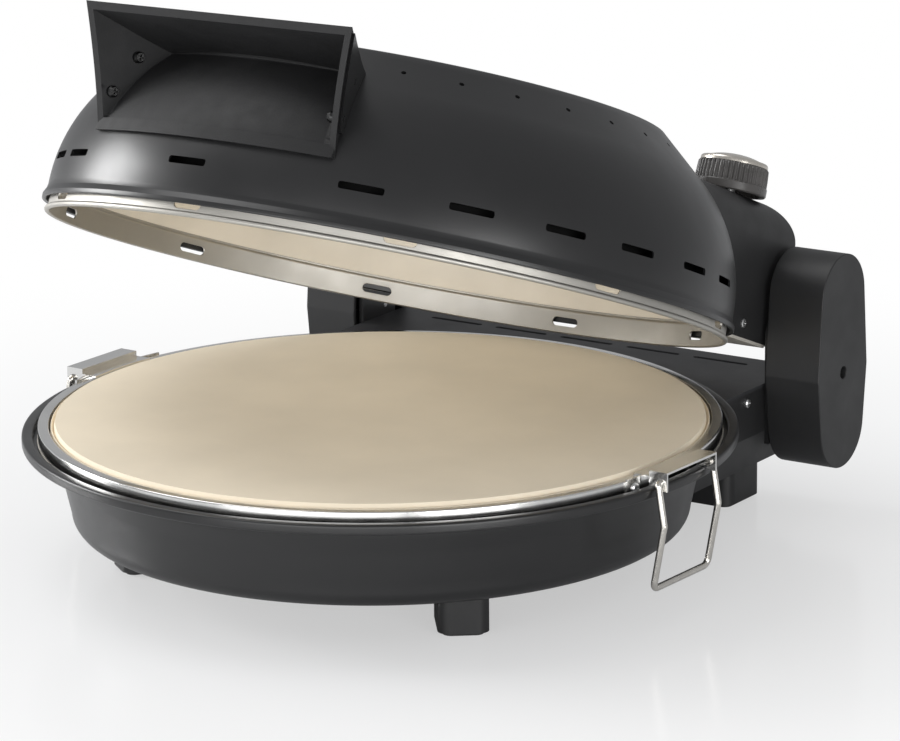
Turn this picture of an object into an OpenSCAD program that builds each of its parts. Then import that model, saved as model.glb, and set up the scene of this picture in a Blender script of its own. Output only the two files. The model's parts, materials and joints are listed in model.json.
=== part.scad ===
// Countertop pizza oven: a round dish with a lift-out stone tray, and a domed lid
// that swings up at the back on an axle between two upright hinge covers.
// Millimetres. Z is up, Y points to the hinge, and the origin is on the table
// below the centre of the dish. Lid pieces are drawn in the lid's own frame,
// whose origin is the centre of the skirt's bead, and then set at lid_open.

/* [Lid opening] */
// Angle by which the lid stands open
lid_open = 21.4; // [0:0.1:60]

/* [Dish] */
// Outer radius of the dish's lip, which the tray, lid and hinge follow
lip_r = 171.8; // [166:0.1:180]
// Width of the lip
lip_w = 5.5; // [4.5:0.1:6]
// Height of the top of the lip above the table
lip_top_z = 69; // [68:0.1:70]
// Height of the lip's outer face
lip_h = 5.3; // [4:0.1:6]
// Distance from the lip's outer edge in to the top of the bowl
bowl_inset = 14.8; // [13.8:0.1:15.8]
// Distance by which the bowl narrows from its top to its bottom rounding
bowl_taper = 8; // [6:0.1:11]
// Radius of the rounding at the bottom of the bowl
bowl_round = 9; // [6:0.5:12]
// Height of the bowl's underside above the table
bowl_z = 22; // [18:0.5:26]
// Sheet thickness of the dish
dish_t = 1.5; // [1:0.1:1.8]

/* [Heat shield and heaters] */
// Sheet thickness of the heat shield and the lid's reflector
shield_t = 0.8; // [0.6:0.1:1]
// Distance from the bowl's lower edge in to the heat shield's flat bottom
shield_inset = 17; // [14:0.5:24]
// Height of the heat shield's flat bottom
shield_z = 30; // [28:0.5:33]
// Distance from the stone's edge in to both heater rings
heater_inset = 53; // [48:0.5:63]
// Diameter of the heater tube
heater_d = 6.5; // [6:0.1:8]
// Height of the lower heater's centre line
heater_z = 46; // [43:0.5:50]
// Height of the upper heater's centre line above the bead
upper_heater_z = 32; // [30:0.5:38]

/* [Tray and stone] */
// Width of the tray ring's top band, from the stone's edge out
band_w = 6; // [5.4:0.1:7]
// Thickness of the stone
stone_t = 12.4; // [11:0.1:14]
// Depth of the rebate round the stone's edge
stone_rebate_w = 5.8; // [5.5:0.1:7]
// Height by which the stone stands above its ring
stone_proud = 1.4; // [0.4:0.1:1.5]
// Clearance between the tray ring and the inside of the lip
tray_gap = 2.3; // [1.8:0.1:2.6]
// Height of the tray ring
ring_h = 7; // [6:0.1:7.5]
// Sheet thickness of the tray ring
ring_t = 1; // [0.8:0.1:1.2]
// Angle by which the tray is turned in the dish
tray_turn = -1.9; // [-5:0.1:5]

/* [Tray brackets and bails] */
// Length of a bracket along the ring
bracket_l = 43; // [38:0.5:50]
// Distance from a bail's pivot out to the edge of its bracket
bracket_edge = 3.5; // [3:0.1:5]
// Sheet thickness of a bracket
bracket_t = 1; // [0.8:0.1:1.2]
// Height of the step up in a bracket's top
bracket_step = 2.5; // [2.1:0.1:2.8]
// Height of a bracket's ears
ear_h = 9; // [8.5:0.1:10]
// Diameter of the bail's wire
wire_d = 3.2; // [2.8:0.1:3.4]
// Distance of a bail's pivot beyond the lip
bail_beyond = 0.7; // [0.6:0.1:1]
// Height of a bail's pivot above the lip
bail_above = 2.4; // [2:0.1:2.8]
// Height of a bail from its pivot to its grip bar
bail_h = 51; // [46:0.5:53]
// Distance by which a bail's legs bow outwards
bail_bow = 3.4; // [2:0.1:5]

/* [Feet] */
// Distance from the bowl's lower edge in to a front foot's middle
foot_inset = 38; // [34:0.5:44]
// Angle of the front feet from the X axis
foot_angle = 37; // [32:0.5:42]
// Length of a front foot
foot_l = 34; // [30:0.5:38]
// Width of a front foot
foot_w = 24; // [20:0.5:28]
// Thickness of the rubber pads
pad_t = 1.5; // [1:0.1:2]
// Distance from the base neck's side in to a rear foot
rear_foot_inset = 18.6; // [10:0.1:24]

/* [Base neck] */
// Distance from the lip's outer edge in to the base neck's front edge
neck_reach = 80; // [78:0.5:82]
// Distance from the hinge axis forward to the top plate's side screws
neck_screw_ahead = 29; // [28:0.5:30]
// Half of the base neck's width
base_neck_half = 119.6; // [119:0.1:120]
// Distance from the hinge axis back to the base neck's rear face
neck_behind = 28; // [26:0.5:31]
// Height of the top of the base neck's top plate
neck_top_z = 67.8; // [66.5:0.1:68.5]
// Height of the base neck's underside
neck_low_z = 24.5; // [24:0.1:28]
// Wall of the moulded housings
wall = 2.5; // [2:0.1:3]
// Length of a vent slot in the top plate
vent_l = 31; // [24:0.5:34]
// Distance between the middles of two vent slots
vent_pitch = 39.5; // [37:0.1:41]

/* [Hinge] */
// Depth of a cheek's foot below the base neck's top plate
cheek_depth = 31; // [30.5:0.1:33]
// Half of a cheek's width
cheek_half = 11; // [10.6:0.1:11.4]
// Depth of a cheek's lower screw below the base neck's top plate
cheek_screw_low = 24; // [23:0.5:25]
// Depth of a cheek's upper screw below the base neck's top plate
cheek_screw_high = 8; // [7.5:0.5:9]
// Distance of the hinge axis behind the lip
hinge_behind = 2.2; // [1.6:0.1:4]
// Height of the hinge axis above the base neck's top plate
hinge_above = 23.2; // [22.5:0.1:24]
// Diameter of the hinge axle
axle_d = 8; // [7:0.1:9]
// Running clearance of the lid's bushes on the axle, on the radius
axle_clear = 0.05; // [0.02:0.01:0.1]
// Thickness of the steel cheeks that carry the axle
cheek_t = 2.5; // [2:0.1:2.7]
// Distance of the hinge covers' middle behind the hinge axis
cover_behind = 9.5; // [8.5:0.1:10.5]
// Half of a hinge cover's greatest width
cover_half_w = 25.1; // [24:0.1:26]
// Radius of a hinge cover's round ends
cover_end_r = 21.8; // [21:0.1:22.5]
// Height of a hinge cover's top
cover_top_z = 133; // [130:0.5:136]
// Height of a hinge cover's bottom
cover_low_z = 24.5; // [24:0.5:28]
// Height of the widest line of a hinge cover, and of its screw
cover_mid_z = 73; // [70:0.5:76]
// Thickness of a hinge cover
cover_w = 30; // [26:0.5:34]

/* [Lid] */
// Height of the skirt's bead above the table with the lid shut
shut_z = 75.5; // [75.3:0.1:76]
// Distance from the dish's outer edge in to the lid shell's rim
rim_inset = 4; // [3.5:0.1:4.6]
// Width by which the rim flares out from the dome
rim_flare = 1.8; // [1.4:0.1:2.2]
// Height of the rim's lower edge above the bead's middle
rim_z = 4.1; // [3.6:0.1:4.4]
// Radius of the curve of the dome's side
dome_round = 81; // [78:0.5:84]
// Angle at which the dome's side meets the sloping band
dome_turn = 49.7; // [48:0.1:51]
// Distance from the dome's side in to the edge of its top
crown_inset = 48; // [45:0.5:52]
// Height of the edge of the dome's top above the bead
crown_z = 91; // [90:0.1:92]
// Height of the middle of the dome's top above the bead
apex_z = 96; // [94:0.1:98]
// Sheet thickness of the lid shell
shell_t = 1.2; // [1:0.1:1.4]
// Height of the row of slots above the bead
slot_z = 24; // [20:0.5:26]
// Length of a slot
slot_l = 21; // [16:0.5:22]
// Height of a slot
slot_h = 3.4; // [2.5:0.1:4]
// Number of round vent holes in the sloping band
hole_count = 30; // [20:1:36]
// Diameter of a round vent hole
hole_d = 2.4; // [1.6:0.1:3]

/* [Lid skirt] */
// Distance by which the bead at the skirt's foot stands out over the tray ring
bead_over = 1.7; // [1.5:0.1:1.9]
// Diameter of the bead
bead_d = 2.6; // [2.2:0.1:2.6]
// Height of the skirt above the bead's centre line
skirt_h = 11.5; // [10:0.1:13]
// Number of windows in the skirt
window_count = 10; // [8:1:12]
// Length of a window
window_l = 15; // [10:0.5:18]
// Height of a window
window_h = 4.4; // [3:0.1:5]

/* [Lid neck] */
// Play between the lid neck's side and the cheek beside it
lid_neck_play = 1.2; // [1:0.1:1.6]
// Height of the lid neck's top above the bead
lid_neck_top = 78.2; // [76:0.1:80]
// Height of the lid neck's underside above the bead
lid_neck_low = 8; // [7.8:0.1:8.2]
// Radius of the lid neck's upper rear edge
lid_neck_round = 17; // [15:0.5:21]
// Radius of the lid neck's upper side edges
lid_neck_side_round = 20; // [16:0.5:22]

/* [Thermostat knob] */
// Distance from the lid neck's side in to the knob's axis
knob_inset = 24.4; // [23.4:0.1:30]
// Distance of the knob's axis in front of the hinge axis
knob_ahead = 28; // [27:0.5:30]
// Radius of the knob at its foot
knob_r = 18.4; // [16:0.1:19]
// Height of the knob's ribbed skirt
knob_h = 14; // [12:0.1:16]
// Height of the knob's cap
cap_h = 5; // [4:0.1:6]
// Gap between the lid neck and the knob
knob_gap = 0.5; // [0.5:0.1:3]
// Number of ribs round the knob
rib_count = 44; // [30:1:50]

/* [Lid handle] */
// Angle by which the handle is turned about the dome's axis
handle_turn = -3.5; // [-5:0.1:0]
// Half of the handle's width at its top front edge
handle_top_half = 76.9; // [75:0.1:78]
// Half of the handle's width at its foot
handle_foot_half = 68.8; // [67:0.1:70]
// Half of the handle's width at the back, inside the dome's outline
handle_back_half = 46.5; // [45:0.1:48]
// Height of the handle's top front edge above the bead
handle_top_z = 91.9; // [90:0.1:94]
// Height of the handle's underside above the bead
handle_low_z = 34.9; // [33:0.1:36]
// Distance from the dome's side in to the handle's top front edge
handle_top_in = 1.6; // [0:0.1:3]
// Wall of the handle
handle_t = 3.4; // [3:0.1:3.6]
// Height of the strip along the handle's foot
handle_strip_h = 6; // [5:0.1:7]
// Thickness of the strip along the handle's foot
handle_strip_t = 2.6; // [2:0.1:3]
// Thickness of the handle's floor, which lies on the dome
handle_floor_t = 1.2; // [1:0.1:1.6]

/* [Hidden] */
$fn = 96;
fine = 180;        // segments of the large rounds
gap = 0.3;         // clearance between neighbouring bodies
seat = 0.1;        // clearance between neighbouring pieces of one body
through = 1;       // overrun of a cut past the face it goes through

// Derived sizes
bowl_top_r = lip_r - bowl_inset;
bowl_low_r = bowl_top_r - bowl_taper;
shield_r = bowl_low_r - shield_inset;
ring_r = lip_r - lip_w - tray_gap;
stone_r = ring_r - band_w;
heater_r = stone_r - heater_inset;
bail_r = lip_r + bail_beyond;
bail_z = lip_top_z + bail_above;
bracket_r = bail_r + bracket_edge;
foot_r = bowl_low_r - foot_inset;
rear_foot_x = base_neck_half - rear_foot_inset;
hinge_y = lip_r + hinge_behind;
hinge_z = neck_top_z + hinge_above;
neck_rear_y = hinge_y + neck_behind;
cover_y = hinge_y + cover_behind;
rim_r = lip_r - rim_inset;
dome_r = rim_r - rim_flare;
crown_r = dome_r - crown_inset;
bead_r = ring_r + bead_over;
lid_neck_half = base_neck_half - lid_neck_play;
knob_x = lid_neck_half - knob_inset;
knob_y = hinge_y - knob_ahead;
handle_top_y = dome_r - handle_top_in;
ledge_z = lip_top_z - 3.8;                      // ledge on which the heat shield and tray rest
ledge_in_r = bowl_top_r - dish_t;
ring_z = ledge_z + shield_t;
ring_top_z = ring_z + ring_h;
stone_top_z = ring_top_z + stone_proud;
stone_step_z = ring_z + ring_t;
stone_low_r = stone_r - stone_rebate_w;
ring_in_r = stone_r + 0.4;
plate_z = ring_top_z + bracket_t;               // top of a bracket's inner strap
bracket_top_z = plate_z + bracket_step;
riser_r = bead_r + 0.6;                         // inner face of a bracket's step
lid_hinge_z = hinge_z - shut_z;                 // hinge axis in the lid's frame
dome_cx = dome_r - dome_round;                  // centre of the curve of the dome's side
dome_cz = 12;
handle_low_r = dome_cx + sqrt(pow(dome_round, 2) - pow(handle_low_z - dome_cz, 2));
handle_low_y = sqrt(pow(handle_low_r, 2) - pow(handle_foot_half, 2)) + 0.5;
handle_deep_y = dome_r - 61;                    // how far in the handle's sides reach, inside the dome
band_r = dome_cx + dome_round * cos(dome_turn);
band_z = dome_cz + dome_round * sin(dome_turn);
band_len = norm([band_r - crown_r, crown_z - band_z]);
band_nr = (crown_z - band_z) / band_len;        // outward normal of the sloping band
band_nz = (band_r - crown_r) / band_len;
cheek_x = base_neck_half;
cover_x = cheek_x + cheek_t + gap;
cover_lo = cover_low_z + cover_end_r;
cover_hi = cover_top_z - cover_end_r;
neck_plate_t = 1.5;
knob_z = lid_neck_top + knob_gap;
shaft_r = 3;
screw_r = 1.5;
front_feet_at = [[foot_r * cos(foot_angle), -foot_r * sin(foot_angle), foot_angle - 90],
    [-foot_r * cos(foot_angle), -foot_r * sin(foot_angle), 90 - foot_angle]];
rear_foot_w = 30;
rear_foot_l = 33;
rear_foot_y = neck_rear_y - 8 - rear_foot_l / 2;
slot_angles = [-133.5, -123, -93.5, -63.5, -46, -30, -15.5, 0, 13.5, 166.5, 180, -165, -149.5];
window_start = -92;
heater_gap = 14;                                // half of the angle left open in a heater ring
lead_x = heater_r * sin(heater_gap);
middle_y = (cover_y + cover_half_w - lip_r) / 2;    // middle of the whole object behind the dish's centre
lower_lead_y = hinge_y - 12;                    // ends of the heater leads
upper_lead_y = hinge_y - 3;

// ---------- shared shapes ----------

// Moves a piece drawn about the dish's centre so that the whole object stands centred on the origin
module centred() translate([0, -middle_y, 0]) children();

function arc(cx, cy, r, a0, a1, n) =
    [for (i = [0:n]) [cx + r * cos(a0 + (a1 - a0) * i / n), cy + r * sin(a0 + (a1 - a0) * i / n)]];

function flip(points) = [for (i = [len(points) - 1:-1:0]) points[i]];

// Outline with round ends, centred, along X
module stadium(length, height) {
    square([length - height, height], center = true);
    for (side = [-1, 1]) translate([side * (length - height) / 2, 0]) circle(d = height, $fn = 24);
}

// Rectangle with round corners, centred
module round_rect(length, width, r) {
    square([length - 2 * r, width], center = true);
    square([length, width - 2 * r], center = true);
    for (sx = [-1, 1], sy = [-1, 1])
        translate([sx * (length / 2 - r), sy * (width / 2 - r)]) circle(r = r, $fn = 32);
}

// Cross-head screw along -Z with its head's underside at the origin
module screw(head_r, head_h, shank_r, length) {
    difference() {
        union() {
            cylinder(r = head_r, h = head_h * 0.6, $fn = 32);
            translate([0, 0, head_h * 0.6])
                cylinder(r1 = head_r, r2 = head_r * 0.72, h = head_h * 0.4, $fn = 32);
            translate([0, 0, -length]) cylinder(r = shank_r, h = length, $fn = 32);
        }
        for (turn = [0, 90]) rotate([0, 0, turn])
            translate([0, 0, head_h]) cube([head_r * 1.1, head_r * 0.24, head_h * 0.9], center = true);
    }
}

// Turns children drawn along Z so that they point outwards along X on one side
module to_side(side) {
    rotate([0, side * 90, 0]) children();
}

// Places children drawn in the lid's frame
module on_lid() {
    translate([0, hinge_y, hinge_z]) rotate([-lid_open, 0, 0])
        translate([0, -hinge_y, shut_z - hinge_z]) children();
}

// ---------- dish ----------

// Points up the bowl's outside from the bottom rounding to the lip, moved out by grow
function bowl_side(grow) = concat(
    arc(bowl_low_r - bowl_round, bowl_z + bowl_round, bowl_round + grow, -90, 0, 8),
    [[bowl_low_r + (bowl_top_r - bowl_low_r) * 0.28 + grow, bowl_z + bowl_round + 9],
     [bowl_low_r + (bowl_top_r - bowl_low_r) * 0.58 + grow, bowl_z + bowl_round + 21],
     [bowl_top_r + grow, ledge_z - dish_t - 1.2]]);

module base_dish() {
    color([0.11, 0.11, 0.115]) centred()
    difference() {
        rotate_extrude($fn = fine) polygon(concat(
            [[0, bowl_z]], bowl_side(0),
            [[bowl_top_r + 1.5, ledge_z - dish_t], [ledge_in_r, ledge_z - dish_t]],
            flip(bowl_side(-dish_t)), [[0, bowl_z + dish_t]]));
        for (f = front_feet_at) translate([f[0], f[1], bowl_z - through])
            cylinder(r = screw_r + seat, h = dish_t + 2 * through, $fn = 32);
        heater_leads(heater_z, heater_d / 2 + 0.8, lower_lead_y);
    }
}

// Ledge and lip round the top of the dish, which sit on the bowl's turned-out edge
module dish_lip() {
    color([0.11, 0.11, 0.115]) centred()
    rotate_extrude($fn = fine) polygon([[ledge_in_r, ledge_z - dish_t], [lip_r - 2.6, ledge_z - dish_t],
        [lip_r, lip_top_z - lip_h + 1.3], [lip_r, lip_top_z - 1.3], [lip_r - 1.3, lip_top_z],
        [lip_r - lip_w + 1.3, lip_top_z], [lip_r - lip_w, lip_top_z - 1.3], [lip_r - lip_w, ledge_z],
        [ledge_in_r, ledge_z]]);
}

module heat_shield() {
    color([0.72, 0.70, 0.67]) centred()
    difference() {
        rotate_extrude($fn = fine) polygon([[0, shield_z], [shield_r, shield_z],
            [bowl_low_r - 6, shield_z + 10], [ledge_in_r - 2.6, ledge_z - 6], [ledge_in_r - 0.9, ledge_z],
            [ring_r + 0.4, ledge_z], [ring_r + 0.4, ring_z], [ledge_in_r - 0.9 - shield_t, ring_z],
            [ledge_in_r - 2.6 - shield_t, ledge_z - 6], [bowl_low_r - 6 - shield_t, shield_z + 10],
            [shield_r - shield_t / 2, shield_z + shield_t], [0, shield_z + shield_t]]);
        heater_leads(heater_z, heater_d / 2 + 0.8, lower_lead_y);
    }
}

// ---------- heaters ----------

// The two straight leads of a heater, which run back from the ring's open ends
module heater_leads(z, r, end_y) {
    start_y = heater_r * cos(heater_gap);
    for (side = [-1, 1]) translate([side * lead_x, start_y, z]) rotate([-90, 0, 0])
        cylinder(r = r, h = end_y - start_y, $fn = 32);
}

module heater_ring(z, end_y) {
    translate([0, 0, z]) rotate([0, 0, 90 + heater_gap])
        rotate_extrude(angle = 360 - 2 * heater_gap, $fn = fine)
            translate([heater_r, 0]) circle(d = heater_d, $fn = 24);
    for (side = [-1, 1]) translate([side * lead_x, heater_r * cos(heater_gap), z])
        sphere(d = heater_d, $fn = 24);
    heater_leads(z, heater_d / 2, end_y);
}

// A saddle under the heater ring, standing on a plate at height foot_z
module heater_saddle(turn, z, foot_z, side) {
    rotate([0, 0, turn]) difference() {
        union() {
            translate([heater_r - 5, -4, min(foot_z, z)]) cube([10, 8, abs(z - foot_z)]);
            translate([heater_r - 9, -4, foot_z - (side > 0 ? 0 : 1)]) cube([18, 8, 1]);
        }
        translate([heater_r, 0, z]) rotate([90, 0, 0])
            cylinder(d = heater_d + 0.5, h = 12, center = true, $fn = 48);
    }
}

module lower_heater() {
    color([0.35, 0.34, 0.33]) centred() heater_ring(heater_z, lower_lead_y);
}

module lower_heater_clips() {
    color([0.75, 0.75, 0.76]) centred()
    for (turn = [-150, -90, -30, 40, 140]) heater_saddle(turn, heater_z, shield_z + shield_t, 1);
}

// ---------- tray and stone ----------

module tray_ring() {
    color([0.82, 0.82, 0.83]) centred()
    difference() {
        rotate_extrude($fn = fine) difference() {
            translate([stone_low_r + 0.4, ring_z]) square([ring_r - stone_low_r - 0.4, ring_h]);
            translate([stone_low_r, stone_step_z]) square([ring_in_r - stone_low_r, ring_h]);
            translate([ring_in_r + ring_t, ring_z - 1]) square([ring_r - ring_in_r - 2 * ring_t, ring_h + 1 - ring_t]);
        }
        bracket_screw_places(0) translate([0, 0, -4]) cylinder(r = screw_r + seat, h = 8, $fn = 32);
    }
}

module pizza_stone() {
    color([0.90, 0.84, 0.72]) centred()
    rotate_extrude($fn = fine) polygon([[0, stone_top_z - stone_t], [stone_low_r - 1, stone_top_z - stone_t],
        [stone_low_r, stone_top_z - stone_t + 1], [stone_low_r, stone_step_z], [stone_r, stone_step_z],
        [stone_r, stone_top_z - 0.8], [stone_r - 0.8, stone_top_z], [0, stone_top_z]]);
}

// Screw places on a bracket's two side tabs; children point outwards
tab_angle = (bracket_l / 2 + 6) / ring_r * 57.3;
tab_z = ring_z + 2.9;
module bracket_screw_places(side) {
    for (s = side == 0 ? [-1, 1] : [side], t = [-1, 1])
        rotate([0, 0, tray_turn + (s < 0 ? 180 : 0) + t * tab_angle])
            translate([ring_r, 0, tab_z]) rotate([0, 90, 0]) children();
}

// Steel bracket on the rim of the tray, with two ears that carry a bail
module tray_bracket(side) {
    ear_x = riser_r;
    rotate([0, 0, tray_turn + (side < 0 ? 180 : 0)]) {
        difference() {
            intersection() {
                translate([0, -bracket_l / 2, ring_top_z]) cube([riser_r + bracket_t, bracket_l, bracket_t]);
                translate([0, 0, ring_top_z - 1]) cylinder(r = bracket_r, h = 5, $fn = fine);
            }
            translate([0, 0, ring_top_z - 1]) cylinder(r = ring_in_r + 0.8, h = 5, $fn = fine);
        }
        translate([riser_r, -bracket_l / 2, ring_top_z])
            cube([bracket_t, bracket_l, bracket_top_z - ring_top_z]);
        translate([riser_r, -bracket_l / 2, bracket_top_z - bracket_t])
            cube([bracket_r - riser_r, bracket_l, bracket_t]);
        for (end = [-1, 1]) difference() {
            translate([ear_x, end > 0 ? bracket_l / 2 - bracket_t : -bracket_l / 2, bracket_top_z - ear_h])
                cube([bracket_r - ear_x, bracket_t, ear_h]);
            translate([bail_r, end * bracket_l / 2, bail_z]) rotate([90, 0, 0])
                cylinder(d = wire_d + 2 * axle_clear, h = 4 * bracket_t, center = true, $fn = 48);
            cylinder(r = lip_r + gap, h = lip_top_z + gap, $fn = fine);
        }
    }
    // side tabs, bent round the ring's outer wall
    for (t = [-1, 1]) difference() {
        rotate([0, 0, tray_turn + (side < 0 ? 180 : 0) + (t > 0 ? tab_angle - 2 * tab_half : -tab_angle - tab_half)])
            rotate_extrude(angle = 3 * tab_half, $fn = fine)
                translate([ring_r, ring_z + 0.4]) square([bracket_t, ring_h - 0.4 + bracket_t]);
        bracket_screw_places(side) translate([0, 0, -1]) cylinder(r = screw_r + seat, h = 4, $fn = 32);
    }
}
tab_half = 1.9;

module right_bracket() { color([0.80, 0.80, 0.81]) centred() tray_bracket(1); }
module left_bracket() { color([0.80, 0.80, 0.81]) centred() tray_bracket(-1); }

module bracket_screws() {
    color([0.70, 0.70, 0.71]) centred()
    bracket_screw_places(0) translate([0, 0, bracket_t]) screw(2.4, 1, screw_r, 3.4);
}

// Wire bail hanging from a bracket's ears. Its pins point inwards through the ears,
// its legs bow outwards, and its corners are round.
bail_pin_bend = 1.9;
bail_bend = 4;
bail_lean = 2.2;
lap = 0.1;                              // overlap of the wire's pieces, in millimetres or degrees
bail_leg = bail_h - bail_pin_bend - bail_bend;
bail_arc_r = bail_leg * bail_leg / (8 * bail_bow) + bail_bow / 2;
bail_out = asin(bail_leg / (2 * bail_arc_r)) - bail_lean;
bail_in = bail_out + 2 * bail_lean;
module bail(side) {
    half = bracket_l / 2 + wire_d / 2 + gap;
    arc_at = [(bail_pin_bend * sin(bail_out) - bail_arc_r * cos(bail_out)),
        -bail_pin_bend * cos(bail_out) - bail_arc_r * sin(bail_out)];
    low_at = [arc_at[0] + bail_arc_r * cos(bail_in), arc_at[1] - bail_arc_r * sin(bail_in)];
    rotate([0, 0, tray_turn + (side < 0 ? 180 : 0)]) translate([bail_r, 0, bail_z]) {
        for (end = [0, 1]) mirror([0, end, 0]) {
            translate([0, half - bail_pin_bend + lap, 0]) rotate([90, 0, 0])
                cylinder(d = wire_d, h = 2.3, $fn = 32);
            translate([bail_pin_bend * sin(bail_out), half - bail_pin_bend, -bail_pin_bend * cos(bail_out)])
                rotate([0, -90 - bail_out, 0]) rotate_extrude(angle = 90, $fn = 64)
                    translate([bail_pin_bend, 0]) circle(d = wire_d + 0.02, $fn = 32);
            translate([arc_at[0], half, arc_at[1]]) rotate([90, 0, 0]) rotate([0, 0, -bail_in - lap])
                rotate_extrude(angle = bail_in + bail_out + 2 * lap, $fn = fine)
                    translate([bail_arc_r, 0]) circle(d = wire_d, $fn = 32);
            translate([low_at[0], half - bail_bend, low_at[1]]) rotate([0, 90 + bail_in, 0])
                rotate_extrude(angle = 90, $fn = 64) translate([bail_bend, 0]) circle(d = wire_d + 0.02, $fn = 32);
        }
        translate([low_at[0] - bail_bend * sin(bail_in), half - bail_bend + lap, low_at[1] - bail_bend * cos(bail_in)])
            rotate([90, 0, 0]) cylinder(d = wire_d, h = 2 * (half - bail_bend + lap), $fn = 32);
    }
}

module right_bail() { color([0.80, 0.78, 0.74]) centred() bail(1); }
module left_bail() { color([0.80, 0.78, 0.74]) centred() bail(-1); }

// ---------- feet ----------

module front_feet() {
    color([0.10, 0.10, 0.105]) centred()
    for (f = front_feet_at) translate([f[0], f[1], pad_t]) rotate([0, 0, f[2]]) difference() {
        linear_extrude(bowl_z - pad_t) round_rect(foot_l, foot_w, 6);
        translate([0, 0, bowl_z - pad_t - 10]) cylinder(r = screw_r, h = 10 + through, $fn = 32);
    }
}

module rear_feet() {
    color([0.10, 0.10, 0.105]) centred()
    for (side = [-1, 1]) translate([side * (rear_foot_x - rear_foot_w / 2), rear_foot_y, pad_t]) difference() {
        linear_extrude(neck_low_z - pad_t) round_rect(rear_foot_w, rear_foot_l, 6);
        translate([0, 0, neck_low_z - pad_t - 10]) cylinder(r = screw_r, h = 10 + through, $fn = 32);
    }
}

module foot_pads() {
    color([0.05, 0.05, 0.05]) centred() {
        for (f = front_feet_at) translate([f[0], f[1], 0]) rotate([0, 0, f[2]])
            linear_extrude(pad_t) round_rect(foot_l - 5, foot_w - 5, 4);
        for (side = [-1, 1]) translate([side * (rear_foot_x - rear_foot_w / 2), rear_foot_y, 0])
            linear_extrude(pad_t) round_rect(rear_foot_w - 5, rear_foot_l - 5, 4);
    }
}

module foot_screws() {
    color([0.70, 0.70, 0.71]) centred() {
        for (f = front_feet_at) translate([f[0], f[1], bowl_z + dish_t]) screw(3, 1.8, screw_r, dish_t + 9);
        for (side = [-1, 1]) translate([side * (rear_foot_x - rear_foot_w / 2), rear_foot_y, neck_low_z + wall])
            screw(3, 1.8, screw_r, wall + 9);
    }
}

// ---------- base neck ----------

// Everything that the dish fills, grown by a clearance
module dish_space(grow) {
    rotate_extrude($fn = fine) polygon(concat([[0, bowl_z - 20], [bowl_low_r - bowl_round, bowl_z - 20]],
        bowl_side(grow), [[bowl_top_r + 1.5 + grow, ledge_z - dish_t - grow],
         [lip_r + grow, ledge_z - dish_t - grow], [lip_r + grow, lip_top_z + 20], [0, lip_top_z + 20]]));
}

// Cross-section of the base neck in X and Z, with its lower edges cut back
module base_neck_section(inset) {
    half = base_neck_half - inset;
    low = neck_low_z + inset;
    polygon([[-half, neck_top_z - neck_plate_t], [half, neck_top_z - neck_plate_t], [half, low + 19],
        [half - 7, low], [7 - half, low], [-half, low + 19]]);
}

neck_front_y = lip_r - neck_reach;
neck_screw_y = hinge_y - neck_screw_ahead;
neck_screw_z = neck_top_z - 6;
module base_neck() {
    color([0.12, 0.12, 0.125]) centred()
    difference() {
        translate([0, neck_rear_y, 0]) rotate([90, 0, 0])
            linear_extrude(neck_rear_y - neck_front_y) base_neck_section(0);
        translate([0, neck_rear_y - wall, 0]) rotate([90, 0, 0])
            linear_extrude(neck_rear_y) base_neck_section(wall);
        translate([wall - base_neck_half, neck_front_y - 1, neck_top_z - 12])
            cube([2 * (base_neck_half - wall), neck_rear_y - wall - neck_front_y + 1, 20]);
        dish_space(seat);
        for (side = [-1, 1]) {
            translate([side * (base_neck_half - 6), neck_screw_y, neck_screw_z]) to_side(side)
                cylinder(r = screw_r + seat, h = 12, $fn = 32);
            for (p = cheek_screws_at) translate([side * (base_neck_half - 6), p[0], p[1]]) to_side(side)
                cylinder(r = screw_r + seat, h = 12, $fn = 32);
            translate([side * (rear_foot_x - rear_foot_w / 2), rear_foot_y, neck_low_z - through])
                cylinder(r = screw_r + seat, h = wall + 2 * through, $fn = 32);
        }
        translate([gland_x, neck_rear_y - wall - through, gland_z]) rotate([-90, 0, 0])
            cylinder(r = gland_r + seat, h = wall + 2 * through, $fn = 48);
    }
}

module neck_top_plate() {
    tab_w = 12;
    color([0.20, 0.20, 0.21]) centred()
    difference() {
        union() {
            translate([-base_neck_half, neck_front_y, neck_top_z - neck_plate_t])
                cube([2 * base_neck_half, neck_rear_y - neck_front_y, neck_plate_t]);
            for (side = [-1, 1])
                translate([side * (base_neck_half - wall - seat - 1) - 1, neck_screw_y - tab_w / 2,
                    neck_screw_z - 5]) cube([2, tab_w, neck_top_z - neck_plate_t - neck_screw_z + 5.5]);
        }
        translate([0, 0, -lip_top_z]) cylinder(r = lip_r + seat, h = 3 * lip_top_z, $fn = fine);
        for (i = [-2:2]) translate([i * vent_pitch, neck_rear_y - 12, neck_top_z - 5])
            linear_extrude(10) stadium(vent_l, 3);
        for (side = [-1, 1]) translate([side * (base_neck_half - 8), neck_screw_y, neck_screw_z]) to_side(side)
            cylinder(r = screw_r + seat, h = 12, $fn = 32);
    }
}

module neck_screws() {
    color([0.75, 0.75, 0.76]) centred()
    for (side = [-1, 1]) translate([side * base_neck_half, neck_screw_y, neck_screw_z]) to_side(side)
        screw(2.3, 1.6, screw_r, wall + 3);
}

module terminal_block() {
    color([0.88, 0.86, 0.80]) centred()
    translate([-30, hinge_y - 6, neck_low_z + wall]) difference() {
        cube([60, 18, 20]);
        for (i = [0:3]) translate([9 + i * 14, 9, 12]) cylinder(r = 3, h = 10, $fn = 32);
    }
}

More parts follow.
